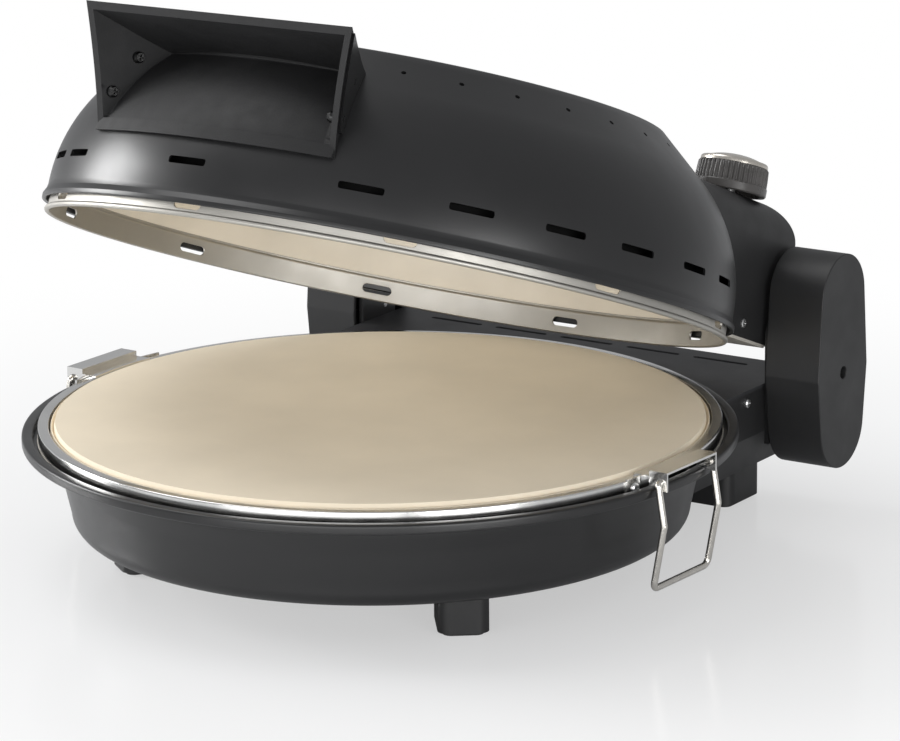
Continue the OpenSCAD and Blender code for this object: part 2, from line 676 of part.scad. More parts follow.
gland_x = -70;
gland_z = 44;
gland_r = 7;
module cord_gland() {
    color([0.06, 0.06, 0.065]) centred()
    translate([gland_x, neck_rear_y, gland_z]) rotate([-90, 0, 0]) difference() {
        union() {
            cylinder(r = gland_r + 2.5, h = 3, $fn = 48);
            translate([0, 0, -wall - 4]) cylinder(r = gland_r, h = wall + 5, $fn = 48);
            cylinder(r1 = gland_r, r2 = gland_r - 1.5, h = 5.5, $fn = 48);
        }
        translate([0, 0, -wall - 6]) cylinder(r = 3.8, h = 30, $fn = 48);
    }
}

// ---------- hinge ----------

cheek_screws_at = [[hinge_y - 2, neck_top_z - cheek_screw_low], [hinge_y - 2, neck_top_z - cheek_screw_high]];
cheek_low_z = neck_top_z - cheek_depth;
cover_screw_y = cover_y + 0.5;

module cheek(side) {
    color([0.12, 0.12, 0.125]) centred()
    translate([side * cheek_x, 0, 0]) to_side(side) mirror([side > 0 ? 1 : 0, 0, 0]) linear_extrude(cheek_t)
        difference() {
            union() {
                translate([cheek_low_z, hinge_y - cheek_half]) square([hinge_z - cheek_low_z, 2 * cheek_half]);
                translate([cheek_low_z, hinge_y - cheek_half])
                    square([cover_mid_z + 8 - cheek_low_z, cover_screw_y + 9 - hinge_y + cheek_half]);
                translate([hinge_z, hinge_y]) circle(r = cheek_half);
            }
            translate([hinge_z, hinge_y]) circle(d = axle_d + 2 * axle_clear);
            for (p = cheek_screws_at) translate([p[1], p[0]]) circle(r = screw_r + seat, $fn = 32);
            translate([cover_mid_z, cover_screw_y]) circle(r = screw_r + seat, $fn = 32);
        }
}

module right_cheek() { cheek(1); }
module left_cheek() { cheek(-1); }

module cheek_screws() {
    color([0.70, 0.70, 0.71]) centred()
    for (side = [-1, 1], p = cheek_screws_at)
        translate([side * (cheek_x + cheek_t), p[0], p[1]]) to_side(side) screw(2.8, 1.8, screw_r, cheek_t + wall + 2);
}

nut_h = 5;
module hinge_axle() {
    half = cheek_x + cheek_t + nut_h + 1;
    color([0.72, 0.72, 0.73]) centred()
    translate([-half, hinge_y, hinge_z]) rotate([0, 90, 0]) cylinder(d = axle_d, h = 2 * half);
}

module axle_nuts() {
    color([0.72, 0.70, 0.62]) centred()
    for (side = [-1, 1]) translate([side * (cheek_x + cheek_t), hinge_y, hinge_z]) to_side(side) difference() {
        cylinder(r = axle_d * 0.95, h = nut_h, $fn = 6);
        translate([0, 0, -1]) cylinder(d = axle_d + 2 * axle_clear, h = nut_h + 2);
    }
}

// Outline of a hinge cover in Y and Z: round ends, widest at its middle line
module cover_outline(inset) {
    r = cover_end_r - inset;
    polygon(concat(arc(cover_y, cover_hi, r, 5, 175, 24), [[cover_y - cover_half_w + inset, cover_mid_z]],
        arc(cover_y, cover_lo, r, 187, 353, 24), [[cover_y + cover_half_w - inset, cover_mid_z]]));
}

module hinge_cover(side) {
    boss_r = 5.5;
    color([0.13, 0.13, 0.135]) centred()
    translate([side > 0 ? cover_x : -cover_x - cover_w, 0, 0]) difference() {
        union() {
            difference() {
                rotate([90, 0, 90]) linear_extrude(cover_w) cover_outline(0);
                translate([side > 0 ? -wall : wall, 0, 0])
                    rotate([90, 0, 90]) linear_extrude(cover_w) cover_outline(wall);
            }
            translate([side > 0 ? 0 : wall, cover_screw_y, cover_mid_z]) rotate([0, 90, 0])
                cylinder(r = boss_r, h = cover_w - wall, $fn = 48);
        }
        translate([side > 0 ? wall + 1 : -1, cover_screw_y, cover_mid_z]) rotate([0, 90, 0])
            cylinder(r = 3.1, h = cover_w - wall, $fn = 48);
        translate([-through, cover_screw_y, cover_mid_z]) rotate([0, 90, 0])
            cylinder(r = screw_r + seat, h = cover_w + 2 * through, $fn = 32);
    }
}

module right_hinge_cover() { hinge_cover(1); }
module left_hinge_cover() { hinge_cover(-1); }

module cover_screws() {
    color([0.30, 0.30, 0.31]) centred()
    for (side = [-1, 1]) translate([side * (cover_x + wall + 1), cover_screw_y, cover_mid_z]) to_side(side)
        screw(2.8, 2, screw_r, wall + 1 + gap + cheek_t);
}

// ---------- lid shell ----------

// Path up the outside of the dome from its rim to its apex, moved in by inset
function dome_path(inset) = concat(
    arc(dome_cx, dome_cz, dome_round - inset, 0, dome_turn, 16),
    [[crown_r + 3 * band_nz - inset * band_nr, crown_z - 3 * band_nr - inset * band_nz],
     [crown_r - inset * 0.4, crown_z - inset * 0.9], [crown_r - 5, crown_z + 1.2 - inset],
     [crown_r * 0.66, crown_z + (apex_z - crown_z) * 0.62 - inset],
     [crown_r * 0.33, crown_z + (apex_z - crown_z) * 0.9 - inset], [0, apex_z - inset]]);

// Everything that the dome fills, grown by a clearance
module dome_space(grow) {
    rotate_extrude($fn = fine) polygon(concat([[0, -30], [rim_r + grow, -30], [rim_r + grow, 7],
        [dome_r + grow, dome_cz - 2]], dome_path(-grow)));
}

module lid_shell() {
    color([0.12, 0.12, 0.125]) centred()
    on_lid() difference() {
        rotate_extrude($fn = fine) polygon(concat(
            [[rim_r - 2.2, rim_z + 0.6], [rim_r - 0.9, rim_z], [rim_r, rim_z + 0.9], [rim_r, rim_z + 2.6],
             [dome_r + rim_flare / 4, rim_z + 5.2], [dome_r, rim_z + 7]],
            dome_path(0), flip(dome_path(shell_t)),
            [[dome_r - shell_t, rim_z + 7], [dome_r + rim_flare / 4 - shell_t, rim_z + 4.6],
             [rim_r - shell_t, rim_z + 2]]));
        for (a = slot_angles) rotate([0, 0, a]) translate([dome_r - 20, 0, slot_z]) rotate([90, 0, 90])
            linear_extrude(30) stadium(slot_l, slot_h);
        for (i = [0:hole_count - 1]) rotate([0, 0, -1.5 + i * 360 / hole_count])
            translate([crown_r + 10.3, 0, crown_z - 7.9]) rotate([0, atan2(band_nr, band_nz), 0])
                cylinder(d = hole_d, h = 8, center = true, $fn = 24);
        heater_leads(upper_heater_z, heater_d / 2 + 0.8, upper_lead_y);
    }
}

module lid_skirt() {
    bead = bead_d / 2;
    wall_r = bead_r - bead - 1.2;
    color([0.84, 0.84, 0.85]) centred()
    on_lid() difference() {
        union() {
            rotate_extrude($fn = fine) polygon(concat(arc(bead_r - bead, 0, bead, -120, 120, 16),
                [[wall_r + 1, 1.4], [wall_r + 1, skirt_h - 1],
                [dome_r - shell_t - seat, skirt_h - 1], [dome_r - shell_t - seat, skirt_h], [wall_r - 4, skirt_h],
                [wall_r - 4, skirt_h - 1], [wall_r, skirt_h - 1], [wall_r, -0.8]]));
        }
        for (i = [0:window_count - 1]) rotate([0, 0, window_start + i * 360 / window_count])
            translate([wall_r - 10, 0, skirt_h * 0.4]) rotate([90, 0, 90])
                linear_extrude(20) stadium(window_l, window_h);
    }
}

pan_round = dome_round - 13;            // curve of the reflector's side, inside the dome's
pan_cx = dome_cx + 2;
pan_cz = dome_cz - 7;
pan_top_z = pan_cz + pan_round;
module lid_reflector() {
    color([0.80, 0.74, 0.64]) centred()
    on_lid() difference() {
        rotate_extrude($fn = fine) polygon(concat(
            [[bead_r - 7, skirt_h], [dome_r - shell_t - 1.5, skirt_h], [dome_r - shell_t - 1.5, skirt_h + shield_t],
             [bead_r - 9, skirt_h + shield_t], [dome_r - 16, 30 + shield_t]],
            arc(pan_cx, pan_cz, pan_round + shield_t, 26, 72, 10), [[0, pan_top_z + shield_t], [0, pan_top_z]],
            flip(arc(pan_cx, pan_cz, pan_round, 26, 72, 10)), [[dome_r - 16 - shield_t, 30], [bead_r - 9.8, skirt_h]]));
        heater_leads(upper_heater_z, heater_d / 2 + 0.8, upper_lead_y);
    }
}

module upper_heater() {
    color([0.35, 0.34, 0.33]) centred() on_lid() heater_ring(upper_heater_z, upper_lead_y);
}

// Ceiling of the reflector above the heater ring
reflector_z = pan_cz + pan_round * sin(acos((heater_r - pan_cx) / pan_round));
module upper_heater_clips() {
    color([0.75, 0.75, 0.76]) centred()
    on_lid() for (turn = [-150, -90, -30, 40, 140]) rotate([0, 0, turn]) difference() {
        translate([heater_r - 5, -4, upper_heater_z - heater_d / 2 - 1.2])
            cube([10, 8, reflector_z - 2.3 - upper_heater_z + heater_d / 2 + 1.2]);
        translate([heater_r - 3.9, -5, upper_heater_z])
            cube([7.8, 10, 40]);
        translate([heater_r, 0, upper_heater_z]) rotate([90, 0, 0])
            cylinder(d = heater_d + 0.5, h = 12, center = true, $fn = 48);
    }
}

// ---------- lid neck ----------

neck_end_r = 7.5;                       // round of the lid neck about the hinge axis
neck_round_y = hinge_y + 5.5 - lid_neck_round;
// Side view of the lid neck in Y and Z
module lid_neck_profile(inset) {
    r = lid_neck_round - inset;
    polygon(concat([[neck_front_y - 30, lid_neck_top - inset]], [[neck_front_y - 30, lid_neck_low + inset]],
        arc(hinge_y, lid_hinge_z, neck_end_r - inset, -90, 0, 8),
        arc(neck_round_y, lid_neck_top - lid_neck_round, r, 2, 90, 12)));
}

// Front view of the lid neck in X and Z
module lid_neck_section(inset) {
    half = lid_neck_half - inset;
    r = lid_neck_side_round - inset;
    polygon(concat([[-half, -5], [half, -5]],
        arc(lid_neck_half - lid_neck_side_round, lid_neck_top - lid_neck_side_round, r, 0, 90, 12),
        arc(lid_neck_side_round - lid_neck_half, lid_neck_top - lid_neck_side_round, r, 90, 180, 12)));
}

module lid_neck_solid(inset) {
    intersection() {
        translate([-lid_neck_half + inset, 0, 0]) rotate([90, 0, 90])
            linear_extrude(2 * (lid_neck_half - inset)) lid_neck_profile(inset);
        translate([0, neck_rear_y, 0]) rotate([90, 0, 0]) linear_extrude(neck_rear_y) lid_neck_section(inset);
    }
}

bush_l = 14;
bush_r = axle_d / 2 + 1.6;
lid_screw_y = hinge_y - 33;
lid_screw_z = 15;
module lid_neck() {
    color([0.12, 0.12, 0.125]) centred()
    on_lid() difference() {
        union() {
            difference() {
                lid_neck_solid(0);
                lid_neck_solid(wall);
                translate([wall - lid_neck_half, neck_front_y - 40, lid_neck_low - 5])
                    cube([2 * (lid_neck_half - wall), hinge_y - neck_end_r - neck_front_y + 39.5, 20]);
            }
            for (side = [-1, 1]) translate([side * (lid_neck_half - bush_l - 1), hinge_y, lid_hinge_z])
                to_side(side) cylinder(r = neck_end_r - 0.4, h = bush_l + 1);
        }
        dome_space(seat);
        translate([-lid_neck_half - 1, hinge_y, lid_hinge_z]) rotate([0, 90, 0])
            cylinder(r = bush_r, h = 2 * lid_neck_half + 2);
        translate([knob_x, knob_y, lid_neck_top - 20]) cylinder(r = shaft_r + 1.6, h = 30);
        for (side = [-1, 1]) translate([side * (lid_neck_half - 6), lid_screw_y, lid_screw_z]) to_side(side)
            cylinder(r = screw_r + seat, h = 12, $fn = 32);
    }
}

module lid_neck_plate() {
    plate_t = 1.5;
    low = lid_neck_low - plate_t;
    color([0.78, 0.75, 0.70]) centred()
    on_lid() difference() {
        union() {
            translate([-lid_neck_half, neck_front_y, low])
                cube([2 * lid_neck_half, hinge_y - neck_end_r - neck_front_y, plate_t]);
            for (side = [-1, 1]) translate([side * (lid_neck_half - wall - seat - 1) - 1, lid_screw_y - 6, low + 1])
                cube([2, 12, lid_screw_z - low + 3.5]);
        }
        translate([0, 0, -50]) cylinder(r = rim_r + seat, h = 150, $fn = fine);
        for (side = [-1, 1]) translate([side * (lid_neck_half - 8), lid_screw_y, lid_screw_z]) to_side(side)
            cylinder(r = screw_r + seat, h = 12, $fn = 32);
    }
}

module lid_neck_screws() {
    color([0.75, 0.75, 0.76]) centred()
    on_lid() for (side = [-1, 1]) translate([side * lid_neck_half, lid_screw_y, lid_screw_z]) to_side(side)
        screw(2.3, 0.9, screw_r, wall + 3);
}

module hinge_bushes() {
    color([0.70, 0.60, 0.38]) centred()
    on_lid() for (side = [-1, 1]) translate([side * (lid_neck_half - bush_l - 1), hinge_y, lid_hinge_z])
        to_side(side) difference() {
            cylinder(r = bush_r, h = bush_l + 1);
            translate([0, 0, -1]) cylinder(d = axle_d + 2 * axle_clear, h = bush_l + 3);
        }
}

// ---------- thermostat and knob ----------

shaft_low_z = lid_neck_top - wall - 8.7;
module thermostat() {
    body_h = 18;
    body_top = lid_neck_top - wall - 2.6;
    color([0.85, 0.83, 0.78]) centred()
    on_lid() translate([knob_x, knob_y, 0]) difference() {
        union() {
            translate([-13, -12, body_top - body_h]) cube([26, 24, body_h]);
            translate([0, 0, body_top]) cylinder(r = shaft_r + 1.4, h = lid_neck_top - 0.5 - body_top);
        }
        translate([0, 0, shaft_low_z - gap]) cylinder(r = shaft_r + axle_clear, h = 20);
    }
}

module thermostat_shaft() {
    color([0.75, 0.75, 0.76]) centred()
    on_lid() translate([knob_x, knob_y, shaft_low_z]) cylinder(r = shaft_r, h = knob_z + knob_h - 5 - shaft_low_z);
}

module knob_grip() {
    rib_d = 1.1;
    color([0.16, 0.155, 0.155]) centred()
    on_lid() translate([knob_x, knob_y, knob_z]) difference() {
        rotate_extrude() polygon([[0, 3], [knob_r - 3.4, 3], [knob_r - 2.4, 0], [knob_r, 0.6], [knob_r, 4.2],
            [knob_r - 0.9, knob_h], [0, knob_h]]);
        for (i = [0:rib_count - 1]) rotate([0, 0, i * 360 / rib_count])
            translate([knob_r + 0.1, 0, 4.8]) rotate([0, -3.5, 0]) cylinder(d = rib_d, h = knob_h, $fn = 13);
        translate([0, 0, 1]) cylinder(r = shaft_r + axle_clear, h = knob_h - 6 + 0.05);
    }
}

module knob_cap() {
    r = knob_r - 1.4;
    color([0.74, 0.70, 0.65]) centred()
    on_lid() translate([knob_x, knob_y, knob_z + knob_h]) rotate_extrude() polygon(concat(
        [[0, 0], [r, 0], [r, 1]], [for (a = [20:10:90]) [r * 0.62 + r * 0.38 * cos(a), 1 + (cap_h - 1) * sin(a)]],
        [[0, cap_h]]));
}

// ---------- lid handle ----------

// Half width of the handle's front edge at a height above the bead
function handle_half(z) = handle_foot_half
    + (handle_top_half - handle_foot_half) * pow(max(0, z - handle_low_z) / (handle_top_z - handle_low_z), 1.5);
// Distance of the handle's front edge from the lid's centre at a height above the bead
function handle_front(z) = handle_low_y
    + (handle_top_y - handle_low_y) * (z - handle_low_z) / (handle_top_z - handle_low_z);
handle_rows = 8;

// Lofted body of the handle from z0 to z1, drawn in by inset and reaching forward by ahead
module handle_body(z0, z1, inset, ahead) {
    n = ahead > 0 ? 6 : 4;
    points = [for (i = [0:handle_rows]) let (z = z0 + (z1 - z0) * i / handle_rows, f = handle_front(z),
        w = handle_half(z) - inset, b = handle_back_half - inset)
        each concat(ahead > 0 ? [[-w, -f - ahead, z], [w, -f - ahead, z]] : [],
            [[w, -f, z], [b, -handle_deep_y, z], [-b, -handle_deep_y, z], [-w, -f, z]])];
    top = handle_rows * n;
    polyhedron(points = points, faces = concat([[for (k = [0:n - 1]) k]], [[for (k = [n - 1:-1:0]) top + k]],
        [for (i = [0:handle_rows - 1], k = [0:n - 1]) [i * n + k, (i + 1) * n + k, (i + 1) * n + (k + 1) % n]],
        [for (i = [0:handle_rows - 1], k = [0:n - 1]) [i * n + k, (i + 1) * n + (k + 1) % n, i * n + (k + 1) % n]]));
}

// Side view, in Y and Z, of the space under the handle's roof, lowered by drop
module handle_roof(drop) {
    f = -handle_top_y;
    t = handle_top_z - drop;
    polygon([[f - 20, 0], [f - 20, t], [f, t], [f + 14.4, t - 4.3], [f + 26.4, t - 7.9], [f + 34.4, t - 10],
        [f + 43.4, t - 11.9], [f + 64.4, t - 14.9], [f + 64.4, 0]]);
}

module handle_under_roof(drop) {
    translate([-90, 0, 0]) rotate([90, 0, 90]) linear_extrude(180) handle_roof(drop);
}

// Scoop handle: a roof and two slanted side walls that end on the dome, a thin floor that lies on
// the dome, and a strip along the foot
module lid_handle() {
    color([0.10, 0.10, 0.105]) centred()
    on_lid() rotate([0, 0, handle_turn]) difference() {
        union() {
            difference() {
                intersection() {
                    handle_body(handle_low_z, handle_top_z + 1, 0, 0);
                    handle_under_roof(0);
                }
                intersection() {
                    handle_body(handle_low_z - 4, handle_top_z + 5, handle_t, 8);
                    handle_under_roof(handle_t);
                }
            }
            intersection() {
                dome_space(handle_strip_t);
                handle_body(handle_low_z, handle_top_z + 1, 0.5, 24);
                translate([-90, -handle_top_y - 30, handle_low_z]) cube([180, 90, handle_strip_h]);
            }
            intersection() {
                dome_space(handle_floor_t);
                handle_body(handle_low_z, handle_top_z + 1, 0.5, 24);
                handle_under_roof(1);
            }
        }
        dome_space(seat);
        handle_screw_places() {
            translate([0, 0, -8]) cylinder(r = screw_r + seat, h = 16, $fn = 24);
            cylinder(r = handle_head_r + seat, h = 9, $fn = 32);
        }
    }
}

// Screw places on the inside of the handle's slanted side walls; children point to the middle
handle_head_r = 2.7;
handle_sunk = 0.4;                      // depth of the flat round each screw's head
ear_t = 1.4;                            // thickness of the steel ears outside the walls
ear_back = 2.6;                          // distance of an ear's edge behind the wall's front edge
handle_screws_at = [[handle_low_y + 0.4, handle_low_z + 18.4], [handle_low_y - 8.2, handle_low_z + 36.7]];
handle_head_h = 3.4;                    // the tall heads stand clear of the walls
module handle_screw_places() {
    for (side = [-1, 1], p = handle_screws_at) {
        slope = (handle_half(p[1]) - handle_back_half) / (handle_front(p[1]) - handle_deep_y);
        translate([side * (handle_back_half - handle_t + handle_sunk + (p[0] - handle_deep_y) * slope), -p[0], p[1]])
            rotate([0, 0, side * atan(slope)]) to_side(-side) children();
    }
}

module handle_screws() {
    color([0.20, 0.20, 0.21]) centred()
    on_lid() rotate([0, 0, handle_turn]) handle_screw_places()
        screw(handle_head_r, handle_head_h, screw_r, (handle_t - handle_sunk + ear_t) * 0.8);
}

// Steel ears along the outside of the handle's side walls, which hold it to the dome
module handle_brackets() {
    color([0.13, 0.13, 0.135]) centred()
    on_lid() rotate([0, 0, handle_turn]) difference() {
        intersection() {
            handle_body(handle_low_z, handle_top_z + 1, -seat - ear_t, 0);
            translate([0, ear_back, 0]) handle_body(handle_low_z, handle_top_z + 1, -12, 0);
            handle_under_roof(1.2);
            translate([-90, -handle_top_y - 10, handle_low_z + 12]) cube([180, 80, 60]);
        }
        handle_body(handle_low_z, handle_top_z + 1, -seat, 9);
        dome_space(seat);
        handle_screw_places() translate([0, 0, -8]) cylinder(r = screw_r + seat, h = 16, $fn = 24);
    }
}

base_dish();
dish_lip();
heat_shield();
lower_heater();
lower_heater_clips();
tray_ring();
pizza_stone();
right_bracket();
left_bracket();
bracket_screws();
right_bail();
left_bail();
front_feet();
rear_feet();
foot_pads();
foot_screws();
base_neck();
neck_top_plate();
neck_screws();
terminal_block();
cord_gland();
right_cheek();
left_cheek();
cheek_screws();
hinge_axle();
axle_nuts();
right_hinge_cover();
left_hinge_cover();
cover_screws();
lid_shell();
lid_skirt();
lid_reflector();
upper_heater();
upper_heater_clips();
lid_neck();
lid_neck_plate();
lid_neck_screws();
hinge_bushes();
thermostat();
thermostat_shaft();
knob_grip();
knob_cap();
lid_handle();
handle_brackets();
handle_screws();
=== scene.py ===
"""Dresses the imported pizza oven: finishes for every solid, finer pieces where they show, light and camera."""

import json
import math

import bmesh
import bpy
from mathutils import Matrix, Vector


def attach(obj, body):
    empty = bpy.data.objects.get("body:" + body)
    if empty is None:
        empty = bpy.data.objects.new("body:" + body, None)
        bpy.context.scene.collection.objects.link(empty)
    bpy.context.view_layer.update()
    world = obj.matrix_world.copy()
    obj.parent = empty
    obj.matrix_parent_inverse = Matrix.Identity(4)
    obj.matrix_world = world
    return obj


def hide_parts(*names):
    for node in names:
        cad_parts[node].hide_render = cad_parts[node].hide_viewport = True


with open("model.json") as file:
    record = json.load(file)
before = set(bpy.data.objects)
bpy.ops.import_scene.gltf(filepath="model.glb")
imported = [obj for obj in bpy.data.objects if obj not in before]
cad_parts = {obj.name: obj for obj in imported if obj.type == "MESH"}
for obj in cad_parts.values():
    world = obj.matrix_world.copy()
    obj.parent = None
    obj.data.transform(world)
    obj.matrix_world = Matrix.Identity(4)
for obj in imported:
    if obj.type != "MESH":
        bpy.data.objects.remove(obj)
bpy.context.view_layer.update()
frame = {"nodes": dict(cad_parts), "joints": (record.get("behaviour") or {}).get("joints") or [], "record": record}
NODES = frame["nodes"]
JOINTS = {joint["name"]: joint for joint in frame["joints"]}
RECORD = frame["record"]
MM = 0.001

# ---------------------------------------------------------------- sizes, in millimetres

STEPS = 288                                   # segments of the large rounds
LIP_R, LIP_W, LIP_TOP = 171.8, 5.5, 69.0      # the dish's lip
LEDGE_Z = LIP_TOP - 3.8
BOWL_Z = 22.0
BOWL_TOP_R, BOWL_LOW_R, BOWL_ROUND = 157.0, 149.0, 9.0
BOWL_BREAK_Z, BOWL_BREAK_PART = 21.0, 0.58    # where the side steepens: height over its round, part of its slope
BOWL_NECK_Z = 57.0                            # foot of the short upright band under the lip
DISH_T = 1.5
SHIELD_T = 0.8
RING_R, RING_H, RING_T = 164.0, 7.0, 1.0
RING_Z = LEDGE_Z + SHIELD_T
STONE_R, STONE_T, STONE_REBATE, STONE_PROUD = 158.0, 12.4, 5.8, 1.4
STONE_TOP = RING_Z + RING_H + STONE_PROUD
SHUT_Z = 75.5                                 # height of the lid's bead when the lid is shut
RIM_R, RIM_Z = 167.8, 4.1
DOME_R, DOME_Z, DOME_ROUND, DOME_TURN = 166.0, 12.0, 81.0, 49.7
CROWN_R, CROWN_Z, APEX_Z = 118.0, 91.0, 96.0
SHELL_T = 1.2
SLOT_Z, SLOT_L, SLOT_H = 24.0, 21.0, 3.4
SLOT_ANGLES = (-133.5, -123, -93.5, -63.5, -46, -30, -15.5, 0, 13.5, 166.5, 180, -165, -149.5)
HOLE_COUNT, HOLE_D, HOLE_START = 30, 2.4, -1.5
BEAD_R, BEAD_D, SKIRT_H = 165.7, 2.6, 11.5
WINDOW_START, WINDOW_COUNT, WINDOW_L, WINDOW_H = -92, 10, 15.0, 4.4
PAN_ARC = (87, 5, 68, 26, 72)                 # the reflector's round side: middle's radius and height, radius, angles
PAN_FOOT = (149.2, 30)                        # where that side starts, as radius and height
HEATER_R, HEATER_D, HEATER_GAP = 105.0, 6.5, 14.0
UPPER_HEATER_Z = 32.0
NECK_HALF, NECK_TOP, NECK_LOW = 118.4, 78.2, 8.0
NECK_ROUND, NECK_SIDE_ROUND, NECK_ROUND_Y, NECK_END_R = 17.0, 20.0, 162.5, 7.5
NECK_WALL, NECK_IN_Y, NECK_OPEN_Y = 2.5, 60, 166.5    # wall, end inside the dome, rear edge of the open underside
KNOB_X, KNOB_Y, KNOB_R, KNOB_H, CAP_H, KNOB_GAP = 94.0, 146.0, 18.4, 14.0, 5.0, 0.5
RIBS = 44
COVER_Y, COVER_HALF, COVER_END_R = 183.5, 25.1, 21.8
COVER_TOP, COVER_LOW, COVER_MID, COVER_W, COVER_X = 133.0, 24.5, 73.0, 30.0, 122.4
HINGE_Y, HINGE_Z = 174.0, 91.0
TRAY_TURN, BRACKET_L, WIRE_D, BAIL_R, BAIL_Z = -1.9, 43.0, 3.2, 172.5, 71.4
BAIL_KINK, BAIL_LOW, BAIL_PIN_L = (3.3, -19.8), (-2.57, -50.7), 4.1    # outwards and up from the pivot
MID_Y = (COVER_Y + COVER_HALF - LIP_R) / 2    # the origin's distance behind the dish's centre
HANDLE_TURN, HANDLE_TOP_HALF, HANDLE_FOOT_HALF, HANDLE_BACK_HALF = -3.5, 76.9, 68.8, 46.5
HANDLE_TOP_Y, HANDLE_DEEP_Y, HANDLE_TOP_Z, HANDLE_LOW_Z, HANDLE_T = 164.4, 105.0, 91.9, 34.9, 3.4
HANDLE_FLARE = 1.5                            # power by which the handle's sides widen towards its top
STRIP_H, STRIP_T, FLOOR_T = 6.0, 2.6, 1.4     # the handle's lower bar, and its floor on the dome
COVER_T, COVER_BOSS_R, BORE_R = 2.5, 5.5, 1.6
SHAFT_HOLE_R, AXLE_HOLE_R = 4.6, 5.6

SHARP = 35                                    # bends above this many degrees are shaded as edges
STAND_UP = Matrix(((0, 0, 1, 0), (1, 0, 0, 0), (0, 1, 0, 0), (0, 0, 0, 1)))    # X and Y to Y and Z, Z to X
LID_OPEN = -math.radians(JOINTS["lid_hinge"]["range_deg"][0])
ON_BASE = Matrix.Translation((0, -MID_Y * MM, 0))
ON_LID = (ON_BASE @ Matrix.Translation(Vector((0, HINGE_Y, HINGE_Z)) * MM) @ Matrix.Rotation(-LID_OPEN, 4, "X")
          @ Matrix.Translation(Vector((0, -HINGE_Y, SHUT_Z - HINGE_Z)) * MM))


# ---------------------------------------------------------------- mesh helpers

def arc(cx, cy, r, start, end, steps):
    """Points on a circle's arc, from start to end in degrees."""
    return [(cx + r * math.cos(math.radians(start + (end - start) * i / steps)),
             cy + r * math.sin(math.radians(start + (end - start) * i / steps))) for i in range(steps + 1)]


def disc(r, count, cx=0, cy=0):
    """A circle's outline with a number of points."""
    return arc(cx, cy, r, 0, 360 - 360 / count, count - 1)


def rounded(points, radii, steps=6):
    """A closed outline with its corners rounded; radii is one number or one for each corner."""
    out = []
    count = len(points)
    for i, here in enumerate(points):
        r = radii[i] if isinstance(radii, (list, tuple)) else radii
        p, before, after = Vector(here), Vector(points[i - 1]), Vector(points[(i + 1) % count])
        to_before, to_after = before - p, after - p
        if r <= 0 or to_before.length < 1e-6 or to_after.length < 1e-6:
            out.append(tuple(p))
            continue
        a, b = to_before.normalized(), to_after.normalized()
        half = math.acos(max(-1, min(1, a.dot(b)))) / 2
        if half > math.pi / 2 - 0.02:
            out.append(tuple(p))
            continue
        reach = min(r / math.tan(half), to_before.length * 0.49, to_after.length * 0.49)
        start, end = p + a * reach, p + b * reach
        for k in range(steps + 1):
            t = k / steps
            out.append(tuple((1 - t) ** 2 * start + 2 * t * (1 - t) * p + t * t * end))
    return out


def finish_mesh(name, bm, place, sharp=SHARP):
    """Turns a bmesh in millimetres into an object in metres, set at its place and shaded smooth."""
    bmesh.ops.remove_doubles(bm, verts=bm.verts, dist=1e-4)
    bmesh.ops.recalc_face_normals(bm, faces=bm.faces)
    mesh = bpy.data.meshes.new(name)
    bm.to_mesh(mesh)
    bm.free()
    mesh.transform(place @ Matrix.Scale(MM, 4))
    mesh.shade_smooth()
    mesh.set_sharp_from_angle(angle=math.radians(sharp))
    piece = bpy.data.objects.new(name, mesh)
    bpy.context.scene.collection.objects.link(piece)
    return piece


def lathe(name, outline, place=ON_BASE, steps=STEPS, shape=None, sharp=SHARP):
    """A closed outline of (radius, height) turned about Z; shape(angle, r, z) may move a point."""
    bm = bmesh.new()
    rows = []
    for r, z in outline:
        if r < 1e-6:
            rows.append([bm.verts.new((0, 0, z))])
            continue
        row = []
        for i in range(steps):
            angle = 2 * math.pi * i / steps
            rr, zz = shape(angle, r, z) if shape else (r, z)
            row.append(bm.verts.new((rr * math.cos(angle), rr * math.sin(angle), zz)))
        rows.append(row)
    for a, b in zip(rows, rows[1:] + rows[:1]):
        if len(a) == 1 and len(b) == 1:
            continue
        for i in range(steps):
            j = (i + 1) % steps
            if len(a) == 1:
                bm.faces.new((a[0], b[j], b[i]))
            elif len(b) == 1:
                bm.faces.new((a[i], a[j], b[0]))
            else:
                bm.faces.new((a[i], a[j], b[j], b[i]))
    return finish_mesh(name, bm, place, sharp)


def prism(name, outline, depth, turn=Matrix.Identity(4), place=ON_BASE):
    """An outline in X and Y pushed up by depth along Z, then turned, in millimetres."""
    bm = bmesh.new()
    low = [bm.verts.new((x, y, 0)) for x, y in outline]
    high = [bm.verts.new((x, y, depth)) for x, y in outline]
    bm.faces.new(reversed(low))
    bm.faces.new(high)
    for i in range(len(outline)):
        j = (i + 1) % len(outline)
        bm.faces.new((low[i], low[j], high[j], high[i]))
    bm.transform(turn)
    return finish_mesh(name, bm, place)


def join(name, parts):
    """Several objects as one."""
    bpy.ops.object.select_all(action="DESELECT")
    for part in parts:
        part.select_set(True)
    bpy.context.view_layer.objects.active = parts[0]
    bpy.ops.object.join()
    parts[0].name = name
    parts[0].data.name = name
    return parts[0]


def settle(piece):
    """Applies every modifier of a piece."""
    graph = bpy.context.evaluated_depsgraph_get()
    mesh = bpy.data.meshes.new_from_object(piece.evaluated_get(graph))
    old = piece.data
    piece.modifiers.clear()
    piece.data = mesh
    bpy.data.meshes.remove(old)


def combine(piece, others, how="DIFFERENCE"):
    """Cuts pieces out of a piece, or joins or crosses them, and takes them away."""
    for other in others:
        cut = piece.modifiers.new("cut", "BOOLEAN")
        cut.operation, cut.solver, cut.object = how, "EXACT", other
    bpy.context.view_layer.update()
    settle(piece)
    for other in others:
        bpy.data.objects.remove(other)
    piece.data.shade_smooth()
    piece.data.set_sharp_from_angle(angle=math.radians(SHARP))
    return piece


